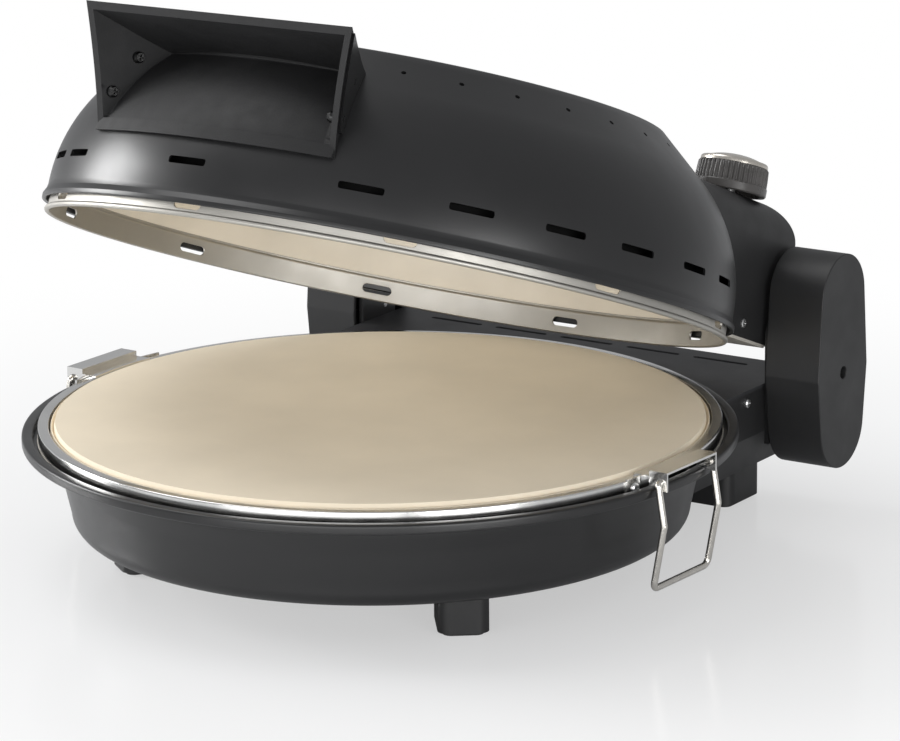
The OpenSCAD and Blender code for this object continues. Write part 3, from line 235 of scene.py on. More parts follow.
def soften(piece, width, segments=2, angle=32):
    """Rounds a piece's sharp edges by a width in millimetres."""
    bevel = piece.modifiers.new("edges", "BEVEL")
    bevel.width = width * MM
    bevel.segments = segments
    bevel.limit_method = "ANGLE"
    bevel.angle_limit = math.radians(angle)
    bevel.use_clamp_overlap = True
    bevel.harden_normals = True
    return piece


def tube(name, points, d, place):
    """A round open wire through points, in millimetres, as a mesh."""
    curve = bpy.data.curves.new(name, "CURVE")
    curve.dimensions = "3D"
    spline = curve.splines.new("POLY")
    spline.points.add(len(points) - 1)
    for target, p in zip(spline.points, points):
        target.co = (*(Vector(p) * MM), 1)
    curve.bevel_depth = d / 2 * MM
    curve.bevel_resolution = 8
    curve.use_fill_caps = True
    holder = bpy.data.objects.new(name, curve)
    bpy.context.scene.collection.objects.link(holder)
    graph = bpy.context.evaluated_depsgraph_get()
    mesh = bpy.data.meshes.new_from_object(holder.evaluated_get(graph))
    bpy.data.objects.remove(holder)
    mesh.transform(place)
    mesh.shade_smooth()
    mesh.set_sharp_from_angle(angle=math.radians(50))
    mesh.name = name
    piece = bpy.data.objects.new(name, mesh)
    bpy.context.scene.collection.objects.link(piece)
    return piece


def stadium(length, height):
    """Outline with round ends, centred, along X."""
    r = height / 2
    side = length / 2 - r
    return arc(side, 0, r, -90, 90, 10) + arc(-side, 0, r, 90, 270, 10)


def radial_cutters(name, outline, angles, r, z, depth, place):
    """Cutters that point outwards at a radius and height, one at each angle in degrees."""
    cutters = []
    for angle in angles:
        turn = (Matrix.Rotation(math.radians(angle), 4, "Z") @ Matrix.Translation((r, 0, z))
                @ Matrix.Rotation(math.pi / 2, 4, "Z") @ Matrix.Rotation(math.pi / 2, 4, "X"))
        cutters.append(prism(name, outline, depth, turn, place))
    return cutters


# ---------------------------------------------------------------- materials

def new_material(name):
    """A node material, its nodes and its links."""
    mat = bpy.data.materials.new(name)
    mat.use_nodes = True
    return mat, mat.node_tree.nodes, mat.node_tree.links


def add_node(tree, kind, inputs=(), **settings):
    """A node with its settings, and its inputs as (name, number or colour, or the output that feeds it)."""
    nodes, links = tree
    node = nodes.new(kind)
    for key, value in settings.items():
        setattr(node, key, value)
    for key, value in dict(inputs).items():
        if isinstance(value, bpy.types.NodeSocket):
            links.new(value, node.inputs[key])
        else:
            node.inputs[key].default_value = value
    return node


def tint_mix(tree, factor, below, above):
    """The output of a colour mix; below is a colour or an output, above a colour."""
    below = below if isinstance(below, bpy.types.NodeSocket) else (*below, 1)
    node = add_node(tree, "ShaderNodeMix", data_type="RGBA",
                    inputs={"Factor": factor, "A": below, "B": (*above, 1)})
    return node.outputs["Result"]


def material(name, color, rough, metal=0.0, coat=0.0, vary=0.12, vary_size=60.0, rough_vary=0.05,
             bumps=(), specks=None, specular=0.5, painted_shade_outside=None):
    """A procedural material: noise sizes in features per metre, bump depths in millimetres.

    specks is (size, amount, colour); the last argument is (middle, colour), painted shade: a dark colour on the faces
    that look away from the middle."""
    mat, nodes, links = new_material(name)
    tree = (nodes, links)
    shader = nodes["Principled BSDF"]
    for key, value in (("Metallic", metal), ("Specular IOR Level", specular), ("Coat Weight", coat),
                       ("Coat Roughness", 0.25)):
        shader.inputs[key].default_value = value
    place = nodes.new("ShaderNodeTexCoord").outputs

    def noise(size, detail=4.0):
        inputs = {"Scale": size, "Detail": detail, "Vector": place["Object"]}
        return add_node(tree, "ShaderNodeTexNoise", inputs).outputs["Fac"]

    ramp = add_node(tree, "ShaderNodeMapRange", {"From Min": 0.3, "From Max": 0.7, "Value": noise(vary_size)})
    shade = tint_mix(tree, ramp.outputs["Result"], [c * (1 - vary) for c in color],
                     [min(1, c * (1 + vary)) for c in color])
    if specks:
        size, amount, tint = specks
        grains = add_node(tree, "ShaderNodeTexVoronoi", {"Scale": size, "Detail": 4.0, "Vector": place["Object"]})
        near = add_node(tree, "ShaderNodeMapRange",
                        {"From Min": amount, "From Max": amount * 0.4, "Value": grains.outputs["Distance"]})
        shade = tint_mix(tree, near.outputs["Result"], shade, tint)
    # Painted shade: faces that look away from the middle take a flat dark colour in place of the shade that falls on
    # them.
    if painted_shade_outside:
        middle, tint = painted_shade_outside
        away = add_node(tree, "ShaderNodeVectorMath", {0: place["Object"], 1: middle}, operation="SUBTRACT")
        facing = add_node(tree, "ShaderNodeVectorMath", {0: away.outputs["Vector"], 1: place["Normal"]},
                          operation="DOT_PRODUCT")
        outside = add_node(tree, "ShaderNodeMath", {0: facing.outputs["Value"], 1: 0.0}, operation="GREATER_THAN")
        shade = tint_mix(tree, outside.outputs[0], shade, tint)
    links.new(shade, shader.inputs["Base Color"])
    gloss = add_node(tree, "ShaderNodeMapRange",
                     {"From Min": 0.25, "From Max": 0.75, "To Min": max(0.02, rough - rough_vary),
                      "To Max": min(1, rough + rough_vary), "Value": noise(vary_size * 2.3)})
    links.new(gloss.outputs["Result"], shader.inputs["Roughness"])
    normal = shader.inputs["Normal"]
    for size, depth in reversed(bumps):
        bump = add_node(tree, "ShaderNodeBump", {"Strength": 1.0, "Distance": depth * MM, "Height": noise(size, 2.0)})
        links.new(bump.outputs["Normal"], normal)
        normal = bump.inputs["Normal"]
    return mat


FINISH = {
    "black_enamel": material("satin_black_paint", (0.0105, 0.0105, 0.011), 0.34, vary=0.10, vary_size=18,
                             rough_vary=0.035, bumps=((900, 0.008),), specular=0.5, coat=0.06),
    "grey_paint": material("grey_paint", (0.034, 0.034, 0.036), 0.5, vary=0.08, vary_size=24, rough_vary=0.04,
                           bumps=((1100, 0.006),), specular=0.3),
    "polished_steel": material("polished_steel", (0.74, 0.735, 0.72), 0.17, metal=1, vary=0.05, vary_size=40,
                               rough_vary=0.05, bumps=((300, 0.003),)),
    "reflector_steel": material("bright_sheet", (0.86, 0.815, 0.73), 0.42, metal=0.6, vary=0.07, vary_size=30,
                                rough_vary=0.08, bumps=((260, 0.01),)),
    "dark_screw": material("dark_screw", (0.05, 0.05, 0.05), 0.35, metal=1, vary=0.10, vary_size=260, rough_vary=0.08,
                           bumps=((1600, 0.006),)),
    "zinc": material("zinc_plate", (0.62, 0.62, 0.62), 0.30, metal=1, vary=0.10, vary_size=260, rough_vary=0.08,
                     bumps=((1600, 0.006),)),
    "nickel_wire": material("nickel_wire", (0.68, 0.655, 0.61), 0.22, metal=1, vary=0.08, vary_size=150,
                            rough_vary=0.06, bumps=((1200, 0.004),)),
    "heater_tube": material("heater_tube", (0.14, 0.125, 0.115), 0.48, metal=0.8, vary=0.3, vary_size=90,
                            rough_vary=0.1, bumps=((900, 0.02),)),
    "fired_clay": material("fired_clay", (0.83, 0.74, 0.59), 0.72, vary=0.05, vary_size=14, rough_vary=0.06,
                           bumps=((1500, 0.03), (420, 0.03)), specks=(900, 0.28, (0.76, 0.66, 0.51))),
    "black_mould": material("moulded_black", (0.014, 0.014, 0.0145), 0.50, vary=0.12, vary_size=30, rough_vary=0.05,
                            bumps=((2600, 0.018), (900, 0.012))),
    "knob_mould": material("knob_mould", (0.075, 0.071, 0.068), 0.30, vary=0.12, vary_size=90, rough_vary=0.05,
                           bumps=((2400, 0.008),)),
    "knob_metal": material("knob_nickel", (0.66, 0.62, 0.56), 0.27, metal=1, vary=0.06, vary_size=120,
                           rough_vary=0.06, bumps=((1500, 0.004),)),
    "rubber": material("rubber", (0.018, 0.018, 0.018), 0.75, vary=0.15, vary_size=120, bumps=((1800, 0.03),)),
    "pale_block": material("pale_block", (0.72, 0.69, 0.61), 0.6, vary=0.06, vary_size=90, bumps=((1500, 0.02),)),
    "bronze": material("bronze", (0.56, 0.42, 0.22), 0.38, metal=1, vary=0.12, vary_size=200, bumps=((1500, 0.01),)),
}
SLOT_OF = {part["node"]: part["material_slot"] for part in RECORD["subparts"]}
BODY_OF = {node: body for body, members in RECORD["behaviour"]["bodies"].items() for node in members}

# The pan's faces that look away from the lid's middle carry painted shade, near-black, which shows through the dome's
# slots as their dark inside.
LID_PAN = material("lid_pan", (0.82, 0.775, 0.69), 0.45, metal=0.45, vary=0.05, vary_size=30, rough_vary=0.06,
                   bumps=((260, 0.01),), painted_shade_outside=(ON_LID @ Vector((0, 0, 0)), (0.02, 0.02, 0.02)))
SKIRT_STEEL = material("skirt_steel", (0.47, 0.455, 0.42), 0.48, metal=1, vary=0.05, vary_size=30, rough_vary=0.06,
                       bumps=((300, 0.003),))
HANDLE_MOULD = material("grained_black", (0.0105, 0.0105, 0.011), 0.58, vary=0.14, vary_size=60, rough_vary=0.06,
                        bumps=((1500, 0.06), (600, 0.03)), specular=0.38)


def dress(piece, slot):
    """Gives a piece the finish of one of the record's slots."""
    piece.data.materials.clear()
    piece.data.materials.append(FINISH[slot])


def stand_for(piece, *nodes, slot=None):
    """The piece takes the place of CAD nodes: their body, their slot and its finish."""
    slot = slot or SLOT_OF[nodes[0]]
    dress(piece, slot)
    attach(piece, BODY_OF[nodes[0]])
    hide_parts(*nodes)
    return piece


# ---------------------------------------------------------------- CAD nodes that stay

EDGE_WIDTHS = {"front_feet": 1.2, "rear_feet": 1.2, "base_neck": 0.9, "neck_top_plate": 0.35, "right_bracket": 0.3,
               "left_bracket": 0.3, "lid_neck_plate": 0.35, "right_cheek": 0.35, "left_cheek": 0.35,
               "axle_nuts": 0.4, "foot_pads": 0.3, "terminal_block": 0.5, "thermostat": 0.5, "cord_gland": 0.3,
               "handle_brackets": 0.3, "bracket_screws": 0.15, "neck_screws": 0.15, "lid_neck_screws": 0.15,
               "cheek_screws": 0.15, "cover_screws": 0.15, "foot_screws": 0.15, "handle_screws": 0.15}
for node, piece in NODES.items():
    dress(piece, SLOT_OF[node])
    if node in EDGE_WIDTHS:
        soften(piece, EDGE_WIDTHS[node], segments=3)


# ---------------------------------------------------------------- dish, tray and stone

def make_dish():
    """The bowl and its rolled lip as one pressed piece."""
    side = arc(BOWL_LOW_R - BOWL_ROUND, BOWL_Z + BOWL_ROUND, BOWL_ROUND, -90, 0, 10)
    side += [(BOWL_LOW_R + (BOWL_TOP_R - BOWL_LOW_R) * (BOWL_BREAK_PART * t), BOWL_Z + BOWL_ROUND + BOWL_BREAK_Z * t)
             for t in (0.2, 0.4, 0.6, 0.8, 1.0)]
    side += [(BOWL_TOP_R - 1.3, BOWL_NECK_Z), (BOWL_TOP_R - 0.4, BOWL_NECK_Z + 3.5)]
    neck = arc(BOWL_TOP_R + 1.7, LEDGE_Z - DISH_T - 2.1, 2.1, 180, 90, 6)
    lip = rounded([(LIP_R - 2.4, LEDGE_Z - DISH_T), (LIP_R, LIP_TOP - 4.6), (LIP_R, LIP_TOP),
                   (LIP_R - LIP_W, LIP_TOP), (LIP_R - LIP_W, LEDGE_Z)], [0.8, 1.2, 1.5, 1.5, 0.6], 6)[:-3]
    inner = [(BOWL_TOP_R - DISH_T, LEDGE_Z), (BOWL_TOP_R - DISH_T - 1.2, BOWL_NECK_Z),
             (BOWL_LOW_R - DISH_T, BOWL_Z + BOWL_ROUND), (BOWL_LOW_R - BOWL_ROUND, BOWL_Z + DISH_T),
             (0, BOWL_Z + DISH_T)]
    outline = [(0, BOWL_Z)] + side + neck + lip + inner
    stand_for(lathe("dish", outline), "base_dish", "dish_lip")


def make_tray():
    """The polished tray ring and the stone that lies in it."""
    outer = rounded([(STONE_R + 0.5, RING_Z + RING_H), (RING_R, RING_Z + RING_H), (RING_R, RING_Z)], [0.5, 1.0, 0.2])
    outline = outer[:-3] + [(RING_R, RING_Z), (RING_R - RING_T, RING_Z), (RING_R - RING_T, RING_Z + RING_H - RING_T),
                            (STONE_R + 1.4, RING_Z + RING_H - RING_T), (STONE_R + 1.4, RING_Z),
                            (STONE_R - STONE_REBATE + 0.4, RING_Z), (STONE_R - STONE_REBATE + 0.4, RING_Z + RING_T),
                            (STONE_R + 0.4, RING_Z + RING_T)]
    stand_for(lathe("tray_rim", outline), "tray_ring")

    low = STONE_R - STONE_REBATE
    base = STONE_TOP - STONE_T
    edge = rounded([(low, base), (low, RING_Z + RING_T), (STONE_R, RING_Z + RING_T), (STONE_R, STONE_TOP)],
                   [1.2, 0.3, 0.6, 1.1], 5)
    top = [(STONE_R * k, STONE_TOP) for k in (0.985, 0.95, 0.8, 0.6, 0.4, 0.2)]
    outline = [(0, base)] + edge + top + [(0, STONE_TOP)]

    def uneven(angle, r, z):
        """A cast stone's edge isn't quite round."""
        ripple = 0.05 * math.sin(3 * angle + 0.7) + 0.04 * math.sin(7 * angle + 2.1) + 0.02 * math.sin(23 * angle)
        return (r + ripple * (r > 150) * 0.8, z)

    stand_for(lathe("stone", outline, shape=uneven), "pizza_stone")


def make_bails():
    """Two wire bails, whose pins point inwards through the brackets' ears."""
    half = BRACKET_L / 2 + WIRE_D / 2 + 0.3
    leg = [(0, half - BAIL_PIN_L, 0), (0, half, 0)] + [(x, half, z) for x, z in (BAIL_KINK, BAIL_LOW)]
    path = leg + [(x, -y, z) for x, y, z in reversed(leg)]
    path = rounded(path, [0, 1.9, 5, 4, 4, 5, 1.9, 0], 8)
    for node, turn in (("right_bail", TRAY_TURN), ("left_bail", TRAY_TURN + 180)):
        place = (ON_BASE @ Matrix.Rotation(math.radians(turn), 4, "Z")
                 @ Matrix.Translation(Vector((BAIL_R, 0, BAIL_Z)) * MM))
        stand_for(tube(node + "_wire", path, WIRE_D, place), node)


# ---------------------------------------------------------------- lid

def dome_outside(steps):
    """The dome's outside from its widest ring to its apex, as (radius, height)."""
    cx = DOME_R - DOME_ROUND
    side = arc(cx, DOME_Z, DOME_ROUND, 0, DOME_TURN, steps)
    band = side[-1]
    slope = [(band[0] + (CROWN_R - band[0]) * t, band[1] + (CROWN_Z - band[1]) * t) for t in (0.12, 0.3, 0.6, 0.84)]
    top = (CROWN_R * 0.66, CROWN_Z + 3.1)
    crown = rounded([(CROWN_R + 2, CROWN_Z - 1), (CROWN_R - 1.2, CROWN_Z + 0.6), top], [0, 7, 0], 8)[1:-1]
    return side + slope + crown + [top, (CROWN_R * 0.33, CROWN_Z + 4.5), (0, APEX_Z)]


def dome_cut(grow):
    """Everything that the dome fills, as a closed outline, for cutting what meets it."""
    path = [(0, -30), (RIM_R + grow, -30), (RIM_R + grow, 7), (DOME_R + grow, 10)]
    return path + [(r + grow * 0.8 if r > 1 else 0, z + grow * 0.6) for r, z in dome_outside(20)]


def make_lid_shell():
    """The pressed dome with its flared rim, its row of slots and its ring of round holes."""
    side_steps = 34
    outside = dome_outside(side_steps)
    rim = rounded([(RIM_R - 2.0, RIM_Z + 0.7), (RIM_R, RIM_Z), (RIM_R, RIM_Z + 2.6), (DOME_R + 0.45, RIM_Z + 5.2),
                   (DOME_R, RIM_Z + 7.0)], [0.3, 0.8, 0.9, 1.6, 0.5], 5)
    inside = [(max(0, r - SHELL_T * 0.8), z - SHELL_T * 0.75) for r, z in reversed(outside)]
    inside[0] = (0, APEX_Z - SHELL_T)
    outline = (rim[:-6] + [(DOME_R, RIM_Z + 7.3)] + outside + inside
               + [(DOME_R - SHELL_T, RIM_Z + 7), (RIM_R - SHELL_T - 1, RIM_Z + 3)])
    shell = lathe("lid_dome", outline, ON_LID, 320)
    half_l, half_h = SLOT_L / 2, SLOT_H / 2
    slot = rounded([(half_l, -half_h), (half_l, half_h), (-half_l, half_h), (-half_l, -half_h)], 1.3, 5)
    cutters = radial_cutters("slot", slot, SLOT_ANGLES, DOME_R - 20, SLOT_Z, 30, ON_LID)
    band = outside[side_steps]
    tilt = math.atan2(CROWN_Z - band[1], band[0] - CROWN_R)
    slope = Vector((math.sin(tilt), 0, math.cos(tilt)))
    at = Vector((CROWN_R + 10.3, 0, CROWN_Z - 7.9)) - slope * 4
    for i in range(HOLE_COUNT):
        turn = (Matrix.Rotation(math.radians(HOLE_START + i * 360 / HOLE_COUNT), 4, "Z") @ Matrix.Translation(at)
                @ Matrix.Rotation(tilt, 4, "Y"))
        cutters.append(prism("hole", disc(HOLE_D / 2, 24), 8, turn, ON_LID))
    combine(shell, [join("cutters", cutters)])
    soften(shell, 0.35, 2, 40)
    stand_for(shell, "lid_shell")


def make_lid_skirt():
    """The bright bead under the dome, and the band with windows behind it."""
    bead = BEAD_D / 2
    wall_r = BEAD_R - bead - 1.2
    outline = (arc(BEAD_R - bead, 0, bead, -135, 115, 14)
               + rounded([(wall_r + 1, 1.3), (wall_r + 1, SKIRT_H - 1), (DOME_R - SHELL_T - 0.2, SKIRT_H - 1),
                          (DOME_R - SHELL_T - 0.2, SKIRT_H), (wall_r - 4, SKIRT_H), (wall_r - 4, SKIRT_H - 1),
                          (wall_r, SKIRT_H - 1), (wall_r, -0.8)], [0, 0.6, 0, 0, 0, 0, 1.2, 0], 4))
    skirt = lathe("lid_rim", outline, ON_LID, 300)
    angles = [WINDOW_START + i * 360 / WINDOW_COUNT for i in range(WINDOW_COUNT)]
    cutters = radial_cutters("window", stadium(WINDOW_L, WINDOW_H), angles, wall_r - 10, SKIRT_H * 0.4, 20, ON_LID)
    combine(skirt, [join("cutters", cutters)])
    soften(skirt, 0.15, 2, 40)
    stand_for(skirt, "lid_skirt")
    skirt.data.materials[0] = SKIRT_STEEL


def make_reflector():
    """The pale pan inside the lid, with painted shade on the side that faces the dome."""
    lip = BEAD_R - 7
    under = [(lip, SKIRT_H), PAN_FOOT] + arc(*PAN_ARC, 22)[1:] + [(60, 71.6), (0, 73)]
    over = [(r + 0.7 if r > 1 else 0, z + SHIELD_T) for r, z in reversed(under[1:])]
    flange_r, flange_z = DOME_R - 3, SKIRT_H + SHIELD_T
    outline = under + over + [(lip + 0.3, flange_z), (flange_r, flange_z), (flange_r, SKIRT_H)]
    pan = lathe("lid_reflector_pan", outline, ON_LID)
    lead_x = HEATER_R * math.sin(math.radians(HEATER_GAP))
    cutters = []
    for side in (-1, 1):
        turn = Matrix.Translation((side * lead_x, 102, UPPER_HEATER_Z)) @ Matrix.Rotation(-math.pi / 2, 4, "X")
        cutters.append(prism("lead", disc(HEATER_D / 2 + 0.8, 24), 70, turn, ON_LID))
    combine(pan, [join("cutters", cutters)])
    stand_for(pan, "lid_reflector")
    pan.data.materials[0] = LID_PAN


def make_lid_neck():
    """The moulded neck that carries the lid on the hinge, open below and cut to fit the dome."""
    side_view = ([(NECK_IN_Y, NECK_TOP), (NECK_IN_Y, NECK_LOW)]
                 + arc(HINGE_Y, HINGE_Z - SHUT_Z, NECK_END_R, -90, 0, 14)
                 + arc(NECK_ROUND_Y, NECK_TOP - NECK_ROUND, NECK_ROUND, 2, 90, 24))

    def body(inset):
        """The neck's outside, or with an inset the room inside it."""
        half = NECK_HALF - inset
        profile = side_view
        if inset:
            front, low = NECK_IN_Y - 10, NECK_LOW - 9
            profile = ([(front, NECK_TOP - inset), (front, low), (NECK_OPEN_Y, low)]
                       + arc(HINGE_Y, HINGE_Z - SHUT_Z, NECK_END_R - inset, -60, 0, 10)
                       + arc(NECK_ROUND_Y, NECK_TOP - NECK_ROUND, NECK_ROUND - inset, 2, 90, 16))
        long_way = prism("neck", profile, 2 * half, Matrix.Translation((-half, 0, 0)) @ STAND_UP, ON_LID)
        r = NECK_SIDE_ROUND - inset
        corner = (NECK_HALF - NECK_SIDE_ROUND, NECK_TOP - NECK_SIDE_ROUND)
        front_view = ([(-half, -12), (half, -12)] + arc(corner[0], corner[1], r, 0, 90, 20)
                      + arc(-corner[0], corner[1], r, 90, 180, 20))
        turn = Matrix.Translation((0, 220, 0)) @ Matrix.Rotation(math.pi / 2, 4, "X")
        return combine(long_way, [prism("neck_front", front_view, 200, turn, ON_LID)], "INTERSECT")

    neck = body(0)
    dome = lathe("dome_cut", dome_cut(0.15), ON_LID, 256)
    combine(neck, [body(NECK_WALL)])
    combine(neck, [dome])
    shaft = prism("shaft_hole", disc(SHAFT_HOLE_R, 36), 30, Matrix.Translation((KNOB_X, KNOB_Y, NECK_TOP - 20)),
                  ON_LID)
    axle = prism("axle_hole", disc(AXLE_HOLE_R, 36), 260,
                 Matrix.Translation((-130, HINGE_Y, HINGE_Z - SHUT_Z)) @ Matrix.Rotation(math.pi / 2, 4, "Y"), ON_LID)
    combine(neck, [shaft, axle])
    soften(neck, 0.8, 3, 30)
    stand_for(neck, "lid_neck")


def make_knob():
    """The thermostat's ribbed skirt and its metal cap."""
    at = ON_LID @ Matrix.Translation(Vector((KNOB_X, KNOB_Y, NECK_TOP + KNOB_GAP)) * MM)
    foot, rib_depth = 4.6, 0.42

    def ribs(angle, r, z):
        if r < KNOB_R - 2.6 or z < foot or z > KNOB_H - 0.6:
            return r, z
        wave = math.cos(angle * RIBS)
        return r + (rib_depth * math.copysign(abs(wave) ** 0.55, wave) - rib_depth), z

    outline = [(0, 3), (KNOB_R - 3.4, 3), (KNOB_R - 2.4, 0), (KNOB_R - 0.5, 0), (KNOB_R, 0.6), (KNOB_R, foot - 0.5),
               (KNOB_R - 0.25, foot - 0.1), (KNOB_R - 0.35, foot + 0.3), (KNOB_R - 0.4, foot + 3),
               (KNOB_R - 0.6, KNOB_H - 3), (KNOB_R - 0.75, KNOB_H - 0.9), (KNOB_R - 1.3, KNOB_H - 0.2),
               (KNOB_R - 2, KNOB_H), (0, KNOB_H)]
    stand_for(lathe("knob_skirt", outline, at, RIBS * 10, ribs, 28), "knob_grip")

    r = KNOB_R - 1.5
    cap_at = at @ Matrix.Translation(Vector((0, 0, KNOB_H)) * MM)
    edge = [(r - 1.1 * (1 - math.cos(a)), 0.9 + 1.5 * math.sin(a)) for a in (0.3, 0.7, 1.1, 1.5)]
    crown = [((r - 2.6) * k, 2.5 + (CAP_H - 2.5) * (1 - k ** 2.4))
             for k in (1, 0.97, 0.92, 0.84, 0.72, 0.55, 0.35, 0.15)]
    outline = ([(0, 0), (r, 0), (r, 0.9)] + edge + [(r - 1.5, 2.45), (r - 1.7, 2.2), (r - 2.3, 2.3)]
               + crown + [(0, CAP_H)])
    stand_for(lathe("knob_top", outline, cap_at, 96), "knob_cap")


def make_covers():
    """The two upright hinge covers, open on the inside, each with a boss for its screw."""
    low, high = COVER_LOW + COVER_END_R, COVER_TOP - COVER_END_R

    def outline(inset):
        r = COVER_END_R - inset
        upper = arc(COVER_Y, high, r, 5, 175, 40)
        lower = arc(COVER_Y, low, r, 187, 353, 40)
        left = rounded([upper[-1], (COVER_Y - COVER_HALF + inset, COVER_MID), lower[0]], [0, 9, 0], 10)[1:-1]
        right = rounded([lower[-1], (COVER_Y + COVER_HALF - inset, COVER_MID), upper[0]], [0, 9, 0], 10)[1:-1]
        return upper + left + lower + right

    def along_x(name, shape, length, start):
        return prism(name, shape, length, Matrix.Translation((start, 0, 0)) @ STAND_UP)

    def screw_round(r, count):
        return disc(r, count, COVER_Y + 0.5, COVER_MID)

    for side, node in ((1, "right_hinge_cover"), (-1, "left_hinge_cover")):
        start = COVER_X if side > 0 else -COVER_X - COVER_W
        inside = COVER_W - COVER_T
        cover = along_x(node.replace("hinge_cover", "cover"), outline(0), COVER_W, start)
        combine(cover, [along_x("hollow", outline(COVER_T), COVER_W, start - side * COVER_T)])
        boss = along_x("boss", screw_round(COVER_BOSS_R, 36), inside, start if side > 0 else start + COVER_T)
        combine(cover, [boss], "UNION")
        recess = along_x("recess", screw_round(3.1, 36), inside, start + 3.5 if side > 0 else start - 1)
        bore = along_x("bore", screw_round(BORE_R, 24), COVER_W + 4, start - 2)
        combine(cover, [recess, bore])
        soften(cover, 1.1, 4, 40)
        stand_for(cover, node)


def handle_half(z):
    """Half of the handle's width at its front, at a height."""
    return HANDLE_FOOT_HALF + (HANDLE_TOP_HALF - HANDLE_FOOT_HALF) * (
        max(0, z - HANDLE_LOW_Z) / (HANDLE_TOP_Z - HANDLE_LOW_Z)) ** HANDLE_FLARE


# The handle's lower corners stand on the dome.
HANDLE_LOW_Y = math.sqrt((DOME_R - DOME_ROUND + math.sqrt(DOME_ROUND ** 2 - (HANDLE_LOW_Z - DOME_Z) ** 2)) ** 2
                         - HANDLE_FOOT_HALF ** 2) + 0.5


def handle_front(z):
    """Distance of the handle's front from the dome's axis, at a height."""
    return HANDLE_LOW_Y + (HANDLE_TOP_Y - HANDLE_LOW_Y) * (z - HANDLE_LOW_Z) / (HANDLE_TOP_Z - HANDLE_LOW_Z)


def make_handle():
    """The scoop handle: a tapered box open to the front, with a floor, a lower bar and seats for four screws."""
    turned = ON_LID @ Matrix.Rotation(math.radians(HANDLE_TURN), 4, "Z")

    def body(z0, z1, inset, ahead):
        """The handle's tapered block between two heights, drawn in by inset and reaching ahead of its front."""
        rows = 36
        bm = bmesh.new()
        rings = []
        for i in range(rows + 1):
            z = z0 + (z1 - z0) * i / rows
            w, b, f = handle_half(z) - inset, HANDLE_BACK_HALF - inset, handle_front(z)
            ring = [(-w, -f - ahead), (w, -f - ahead)] if ahead else []
            ring += [(w, -f), (b, -HANDLE_DEEP_Y), (-b, -HANDLE_DEEP_Y), (-w, -f)]
            rings.append([bm.verts.new((x, y, z)) for x, y in ring])
        count = len(rings[0])
        bm.faces.new(rings[0][::-1])
        bm.faces.new(rings[-1])
        for low, high in zip(rings, rings[1:]):
            for k in range(count):
                j = (k + 1) % count
                bm.faces.new((low[k], low[j], high[j], high[k]))
        return finish_mesh("handle_body", bm, turned)

    def under_roof(drop):
        """All that lies under the handle's bowed roof, lowered by drop."""
        f, t = -HANDLE_TOP_Y, HANDLE_TOP_Z - drop
        outline = [(f - 30, 0), (f - 30, t), (f, t), (f + 14.4, t - 4.3), (f + 26.4, t - 7.9), (f + 34.4, t - 10),
                   (f + 43.4, t - 11.9), (f + 64.4, t - 14.9), (f + 64.4, 0)]
        outline = rounded(outline, [0, 0, 0, 12, 12, 12, 12, 0, 0], 4)
        return prism("roof", outline, 180, Matrix.Translation((-90, 0, 0)) @ STAND_UP, turned)

    handle = combine(body(HANDLE_LOW_Z, HANDLE_TOP_Z + 1, 0, 0), [under_roof(0)], "INTERSECT")
    hollow = combine(body(HANDLE_LOW_Z - 4, HANDLE_TOP_Z + 5, HANDLE_T, 12), [under_roof(HANDLE_T)], "INTERSECT")
    combine(handle, [hollow])
    strip = lathe("strip", dome_cut(STRIP_T), turned, 256)
    slab = prism("slab", [(-90, -200), (90, -200), (90, -100), (-90, -100)], STRIP_H,
                 Matrix.Translation((0, 0, HANDLE_LOW_Z)), turned)
    combine(strip, [slab, body(HANDLE_LOW_Z - 1, HANDLE_TOP_Z, 0.5, 24)], "INTERSECT")
    floor = lathe("handle_floor", dome_cut(FLOOR_T), turned, 256)
    combine(floor, [under_roof(1), body(HANDLE_LOW_Z, HANDLE_TOP_Z, 0.5, 24)], "INTERSECT")
    combine(handle, [strip, floor], "UNION")
    combine(handle, [lathe("dome_cut", dome_cut(0.12), ON_LID, 256)])
    cutters = []
    for side in (-1, 1):
        for y, z in ((HANDLE_LOW_Y + 0.4, HANDLE_LOW_Z + 18.4), (HANDLE_LOW_Y - 8.2, HANDLE_LOW_Z + 36.7)):
            slope = (handle_half(z) - HANDLE_BACK_HALF) / (handle_front(z) - HANDLE_DEEP_Y)
            x = side * (HANDLE_BACK_HALF - HANDLE_T + 0.4 + (y - HANDLE_DEEP_Y) * slope)
            spot = (Matrix.Translation((x, -y, z)) @ Matrix.Rotation(side * math.atan(slope), 4, "Z")
                    @ Matrix.Rotation(-side * math.pi / 2, 4, "Y"))
            cutters.append(prism("seat", disc(2.8, 30), 9, spot, turned))
            cutters.append(prism("bore", disc(BORE_R, 24), 16, spot @ Matrix.Translation((0, 0, -8)), turned))
    combine(handle, cutters)
    soften(handle, 0.9, 3, 38)
    stand_for(handle, "lid_handle")
    handle.data.materials[0] = HANDLE_MOULD


for make in (make_handle, make_dish, make_tray, make_bails, make_lid_shell, make_lid_skirt, make_reflector,
             make_lid_neck, make_knob, make_covers):
    make()


# ---------------------------------------------------------------- floor, light and camera

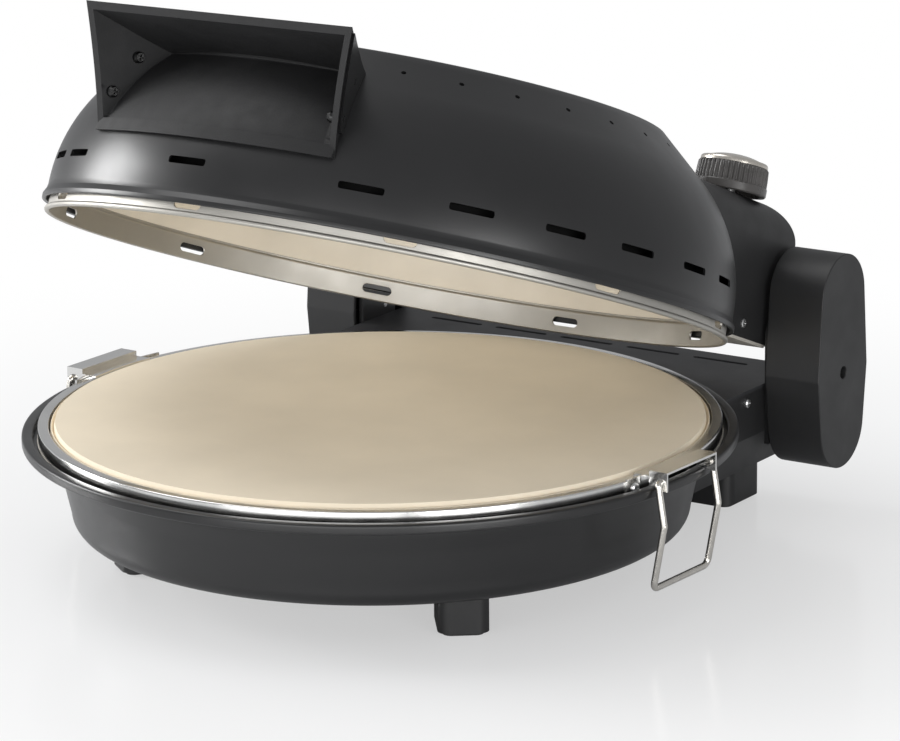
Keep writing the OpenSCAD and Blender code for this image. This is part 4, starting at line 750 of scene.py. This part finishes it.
def floor_material():
    """A pale smooth worktop that turns plain white away from the object where the camera sees it."""
    mat, nodes, links = new_material("floor_white")
    tree = (nodes, links)
    shader = nodes["Principled BSDF"]
    for key, value in (("Base Color", (0.90, 0.905, 0.91, 1)), ("Roughness", 0.16), ("Specular IOR Level", 0.3)):
        shader.inputs[key].default_value = value
    white = nodes.new("ShaderNodeEmission")
    place = nodes.new("ShaderNodeNewGeometry")
    far = add_node(tree, "ShaderNodeVectorMath", {0: place.outputs["Position"]}, operation="LENGTH")
    fade = add_node(tree, "ShaderNodeMapRange", interpolation_type="SMOOTHSTEP",
                    inputs={"From Min": 0.12, "From Max": 0.62, "To Min": 0.50, "Value": far.outputs["Value"]})
    path = nodes.new("ShaderNodeLightPath")
    seen = add_node(tree, "ShaderNodeMath", {0: path.outputs["Is Camera Ray"], 1: fade.outputs["Result"]},
                    operation="MULTIPLY")
    mix = add_node(tree, "ShaderNodeMixShader", {0: seen.outputs[0], 1: shader.outputs[0], 2: white.outputs[0]})
    links.new(mix.outputs[0], nodes["Material Output"].inputs["Surface"])
    return mat


def make_stage():
    """The floor, and a world that lights the object softly and shows as white."""
    reach = 6.0
    mesh = bpy.data.meshes.new("floor")
    mesh.from_pydata([(x * reach, y * reach, 0) for x, y in ((-1, -1), (1, -1), (1, 1), (-1, 1))], [], [(0, 1, 2, 3)])
    floor = bpy.data.objects.new("floor", mesh)
    bpy.context.scene.collection.objects.link(floor)
    mesh.materials.append(floor_material())

    world = bpy.data.worlds.new("studio")
    bpy.context.scene.world = world
    world.use_nodes = True
    nodes, links = world.node_tree.nodes, world.node_tree.links
    nodes.clear()
    tree = (nodes, links)
    path = nodes.new("ShaderNodeLightPath").outputs
    seen = add_node(tree, "ShaderNodeMath", {0: path["Is Camera Ray"], 1: path["Is Transmission Ray"]},
                    operation="MAXIMUM")
    lit = add_node(tree, "ShaderNodeBackground", {"Color": (0.97, 0.98, 1.0, 1), "Strength": 0.45})
    shown = add_node(tree, "ShaderNodeBackground", {"Color": (1, 1, 1, 1), "Strength": 1.0})
    mix = add_node(tree, "ShaderNodeMixShader", {0: seen.outputs[0], 1: lit.outputs[0], 2: shown.outputs[0]})
    add_node(tree, "ShaderNodeOutputWorld", {"Surface": mix.outputs[0]})


# Lights as name, place and aim in metres, width and height in metres, and watts
LIGHTS = (("key_left", (-1.95, -0.5, 0.62), (0, -0.1, 0.15), (0.75, 0.7), 26),
          ("high_left", (-0.95, -0.2, 1.95), (0, 0, 0.1), (1.3, 1.3), 15),
          ("front_fill", (0.5, -2.4, 0.5), (0, 0, 0.1), (2.6, 0.8), 24),
          ("right_fill", (2.0, -1.1, 0.42), (0, 0, 0.1), (1.2, 0.6), 17))


def make_lights():
    """Large soft lights at the left, above and in front, and a weaker one at the right."""
    for name, at, to, size, power in LIGHTS:
        light = bpy.data.lights.new(name, "AREA")
        light.shape = "RECTANGLE"
        light.size, light.size_y = size
        light.energy = power
        lamp = bpy.data.objects.new(name, light)
        bpy.context.scene.collection.objects.link(lamp)
        lamp.location = at
        lamp.rotation_euler = (Vector(to) - Vector(at)).to_track_quat("-Z", "Y").to_euler()


def make_camera():
    """The camera found by fitting the photograph's circles."""
    data = bpy.data.cameras.new("camera")
    data.sensor_width = 36
    data.lens = 188.577
    data.clip_end = 30
    camera = bpy.data.objects.new("camera", data)
    bpy.context.scene.collection.objects.link(camera)
    camera.location = (1.21766, -1.82828, 0.67183)
    camera.rotation_euler = (1.31208474, 0.00876083, 0.57451431)
    bpy.context.scene.camera = camera


make_stage()
make_lights()
make_camera()
bpy.context.scene.view_settings.view_transform = "Standard"
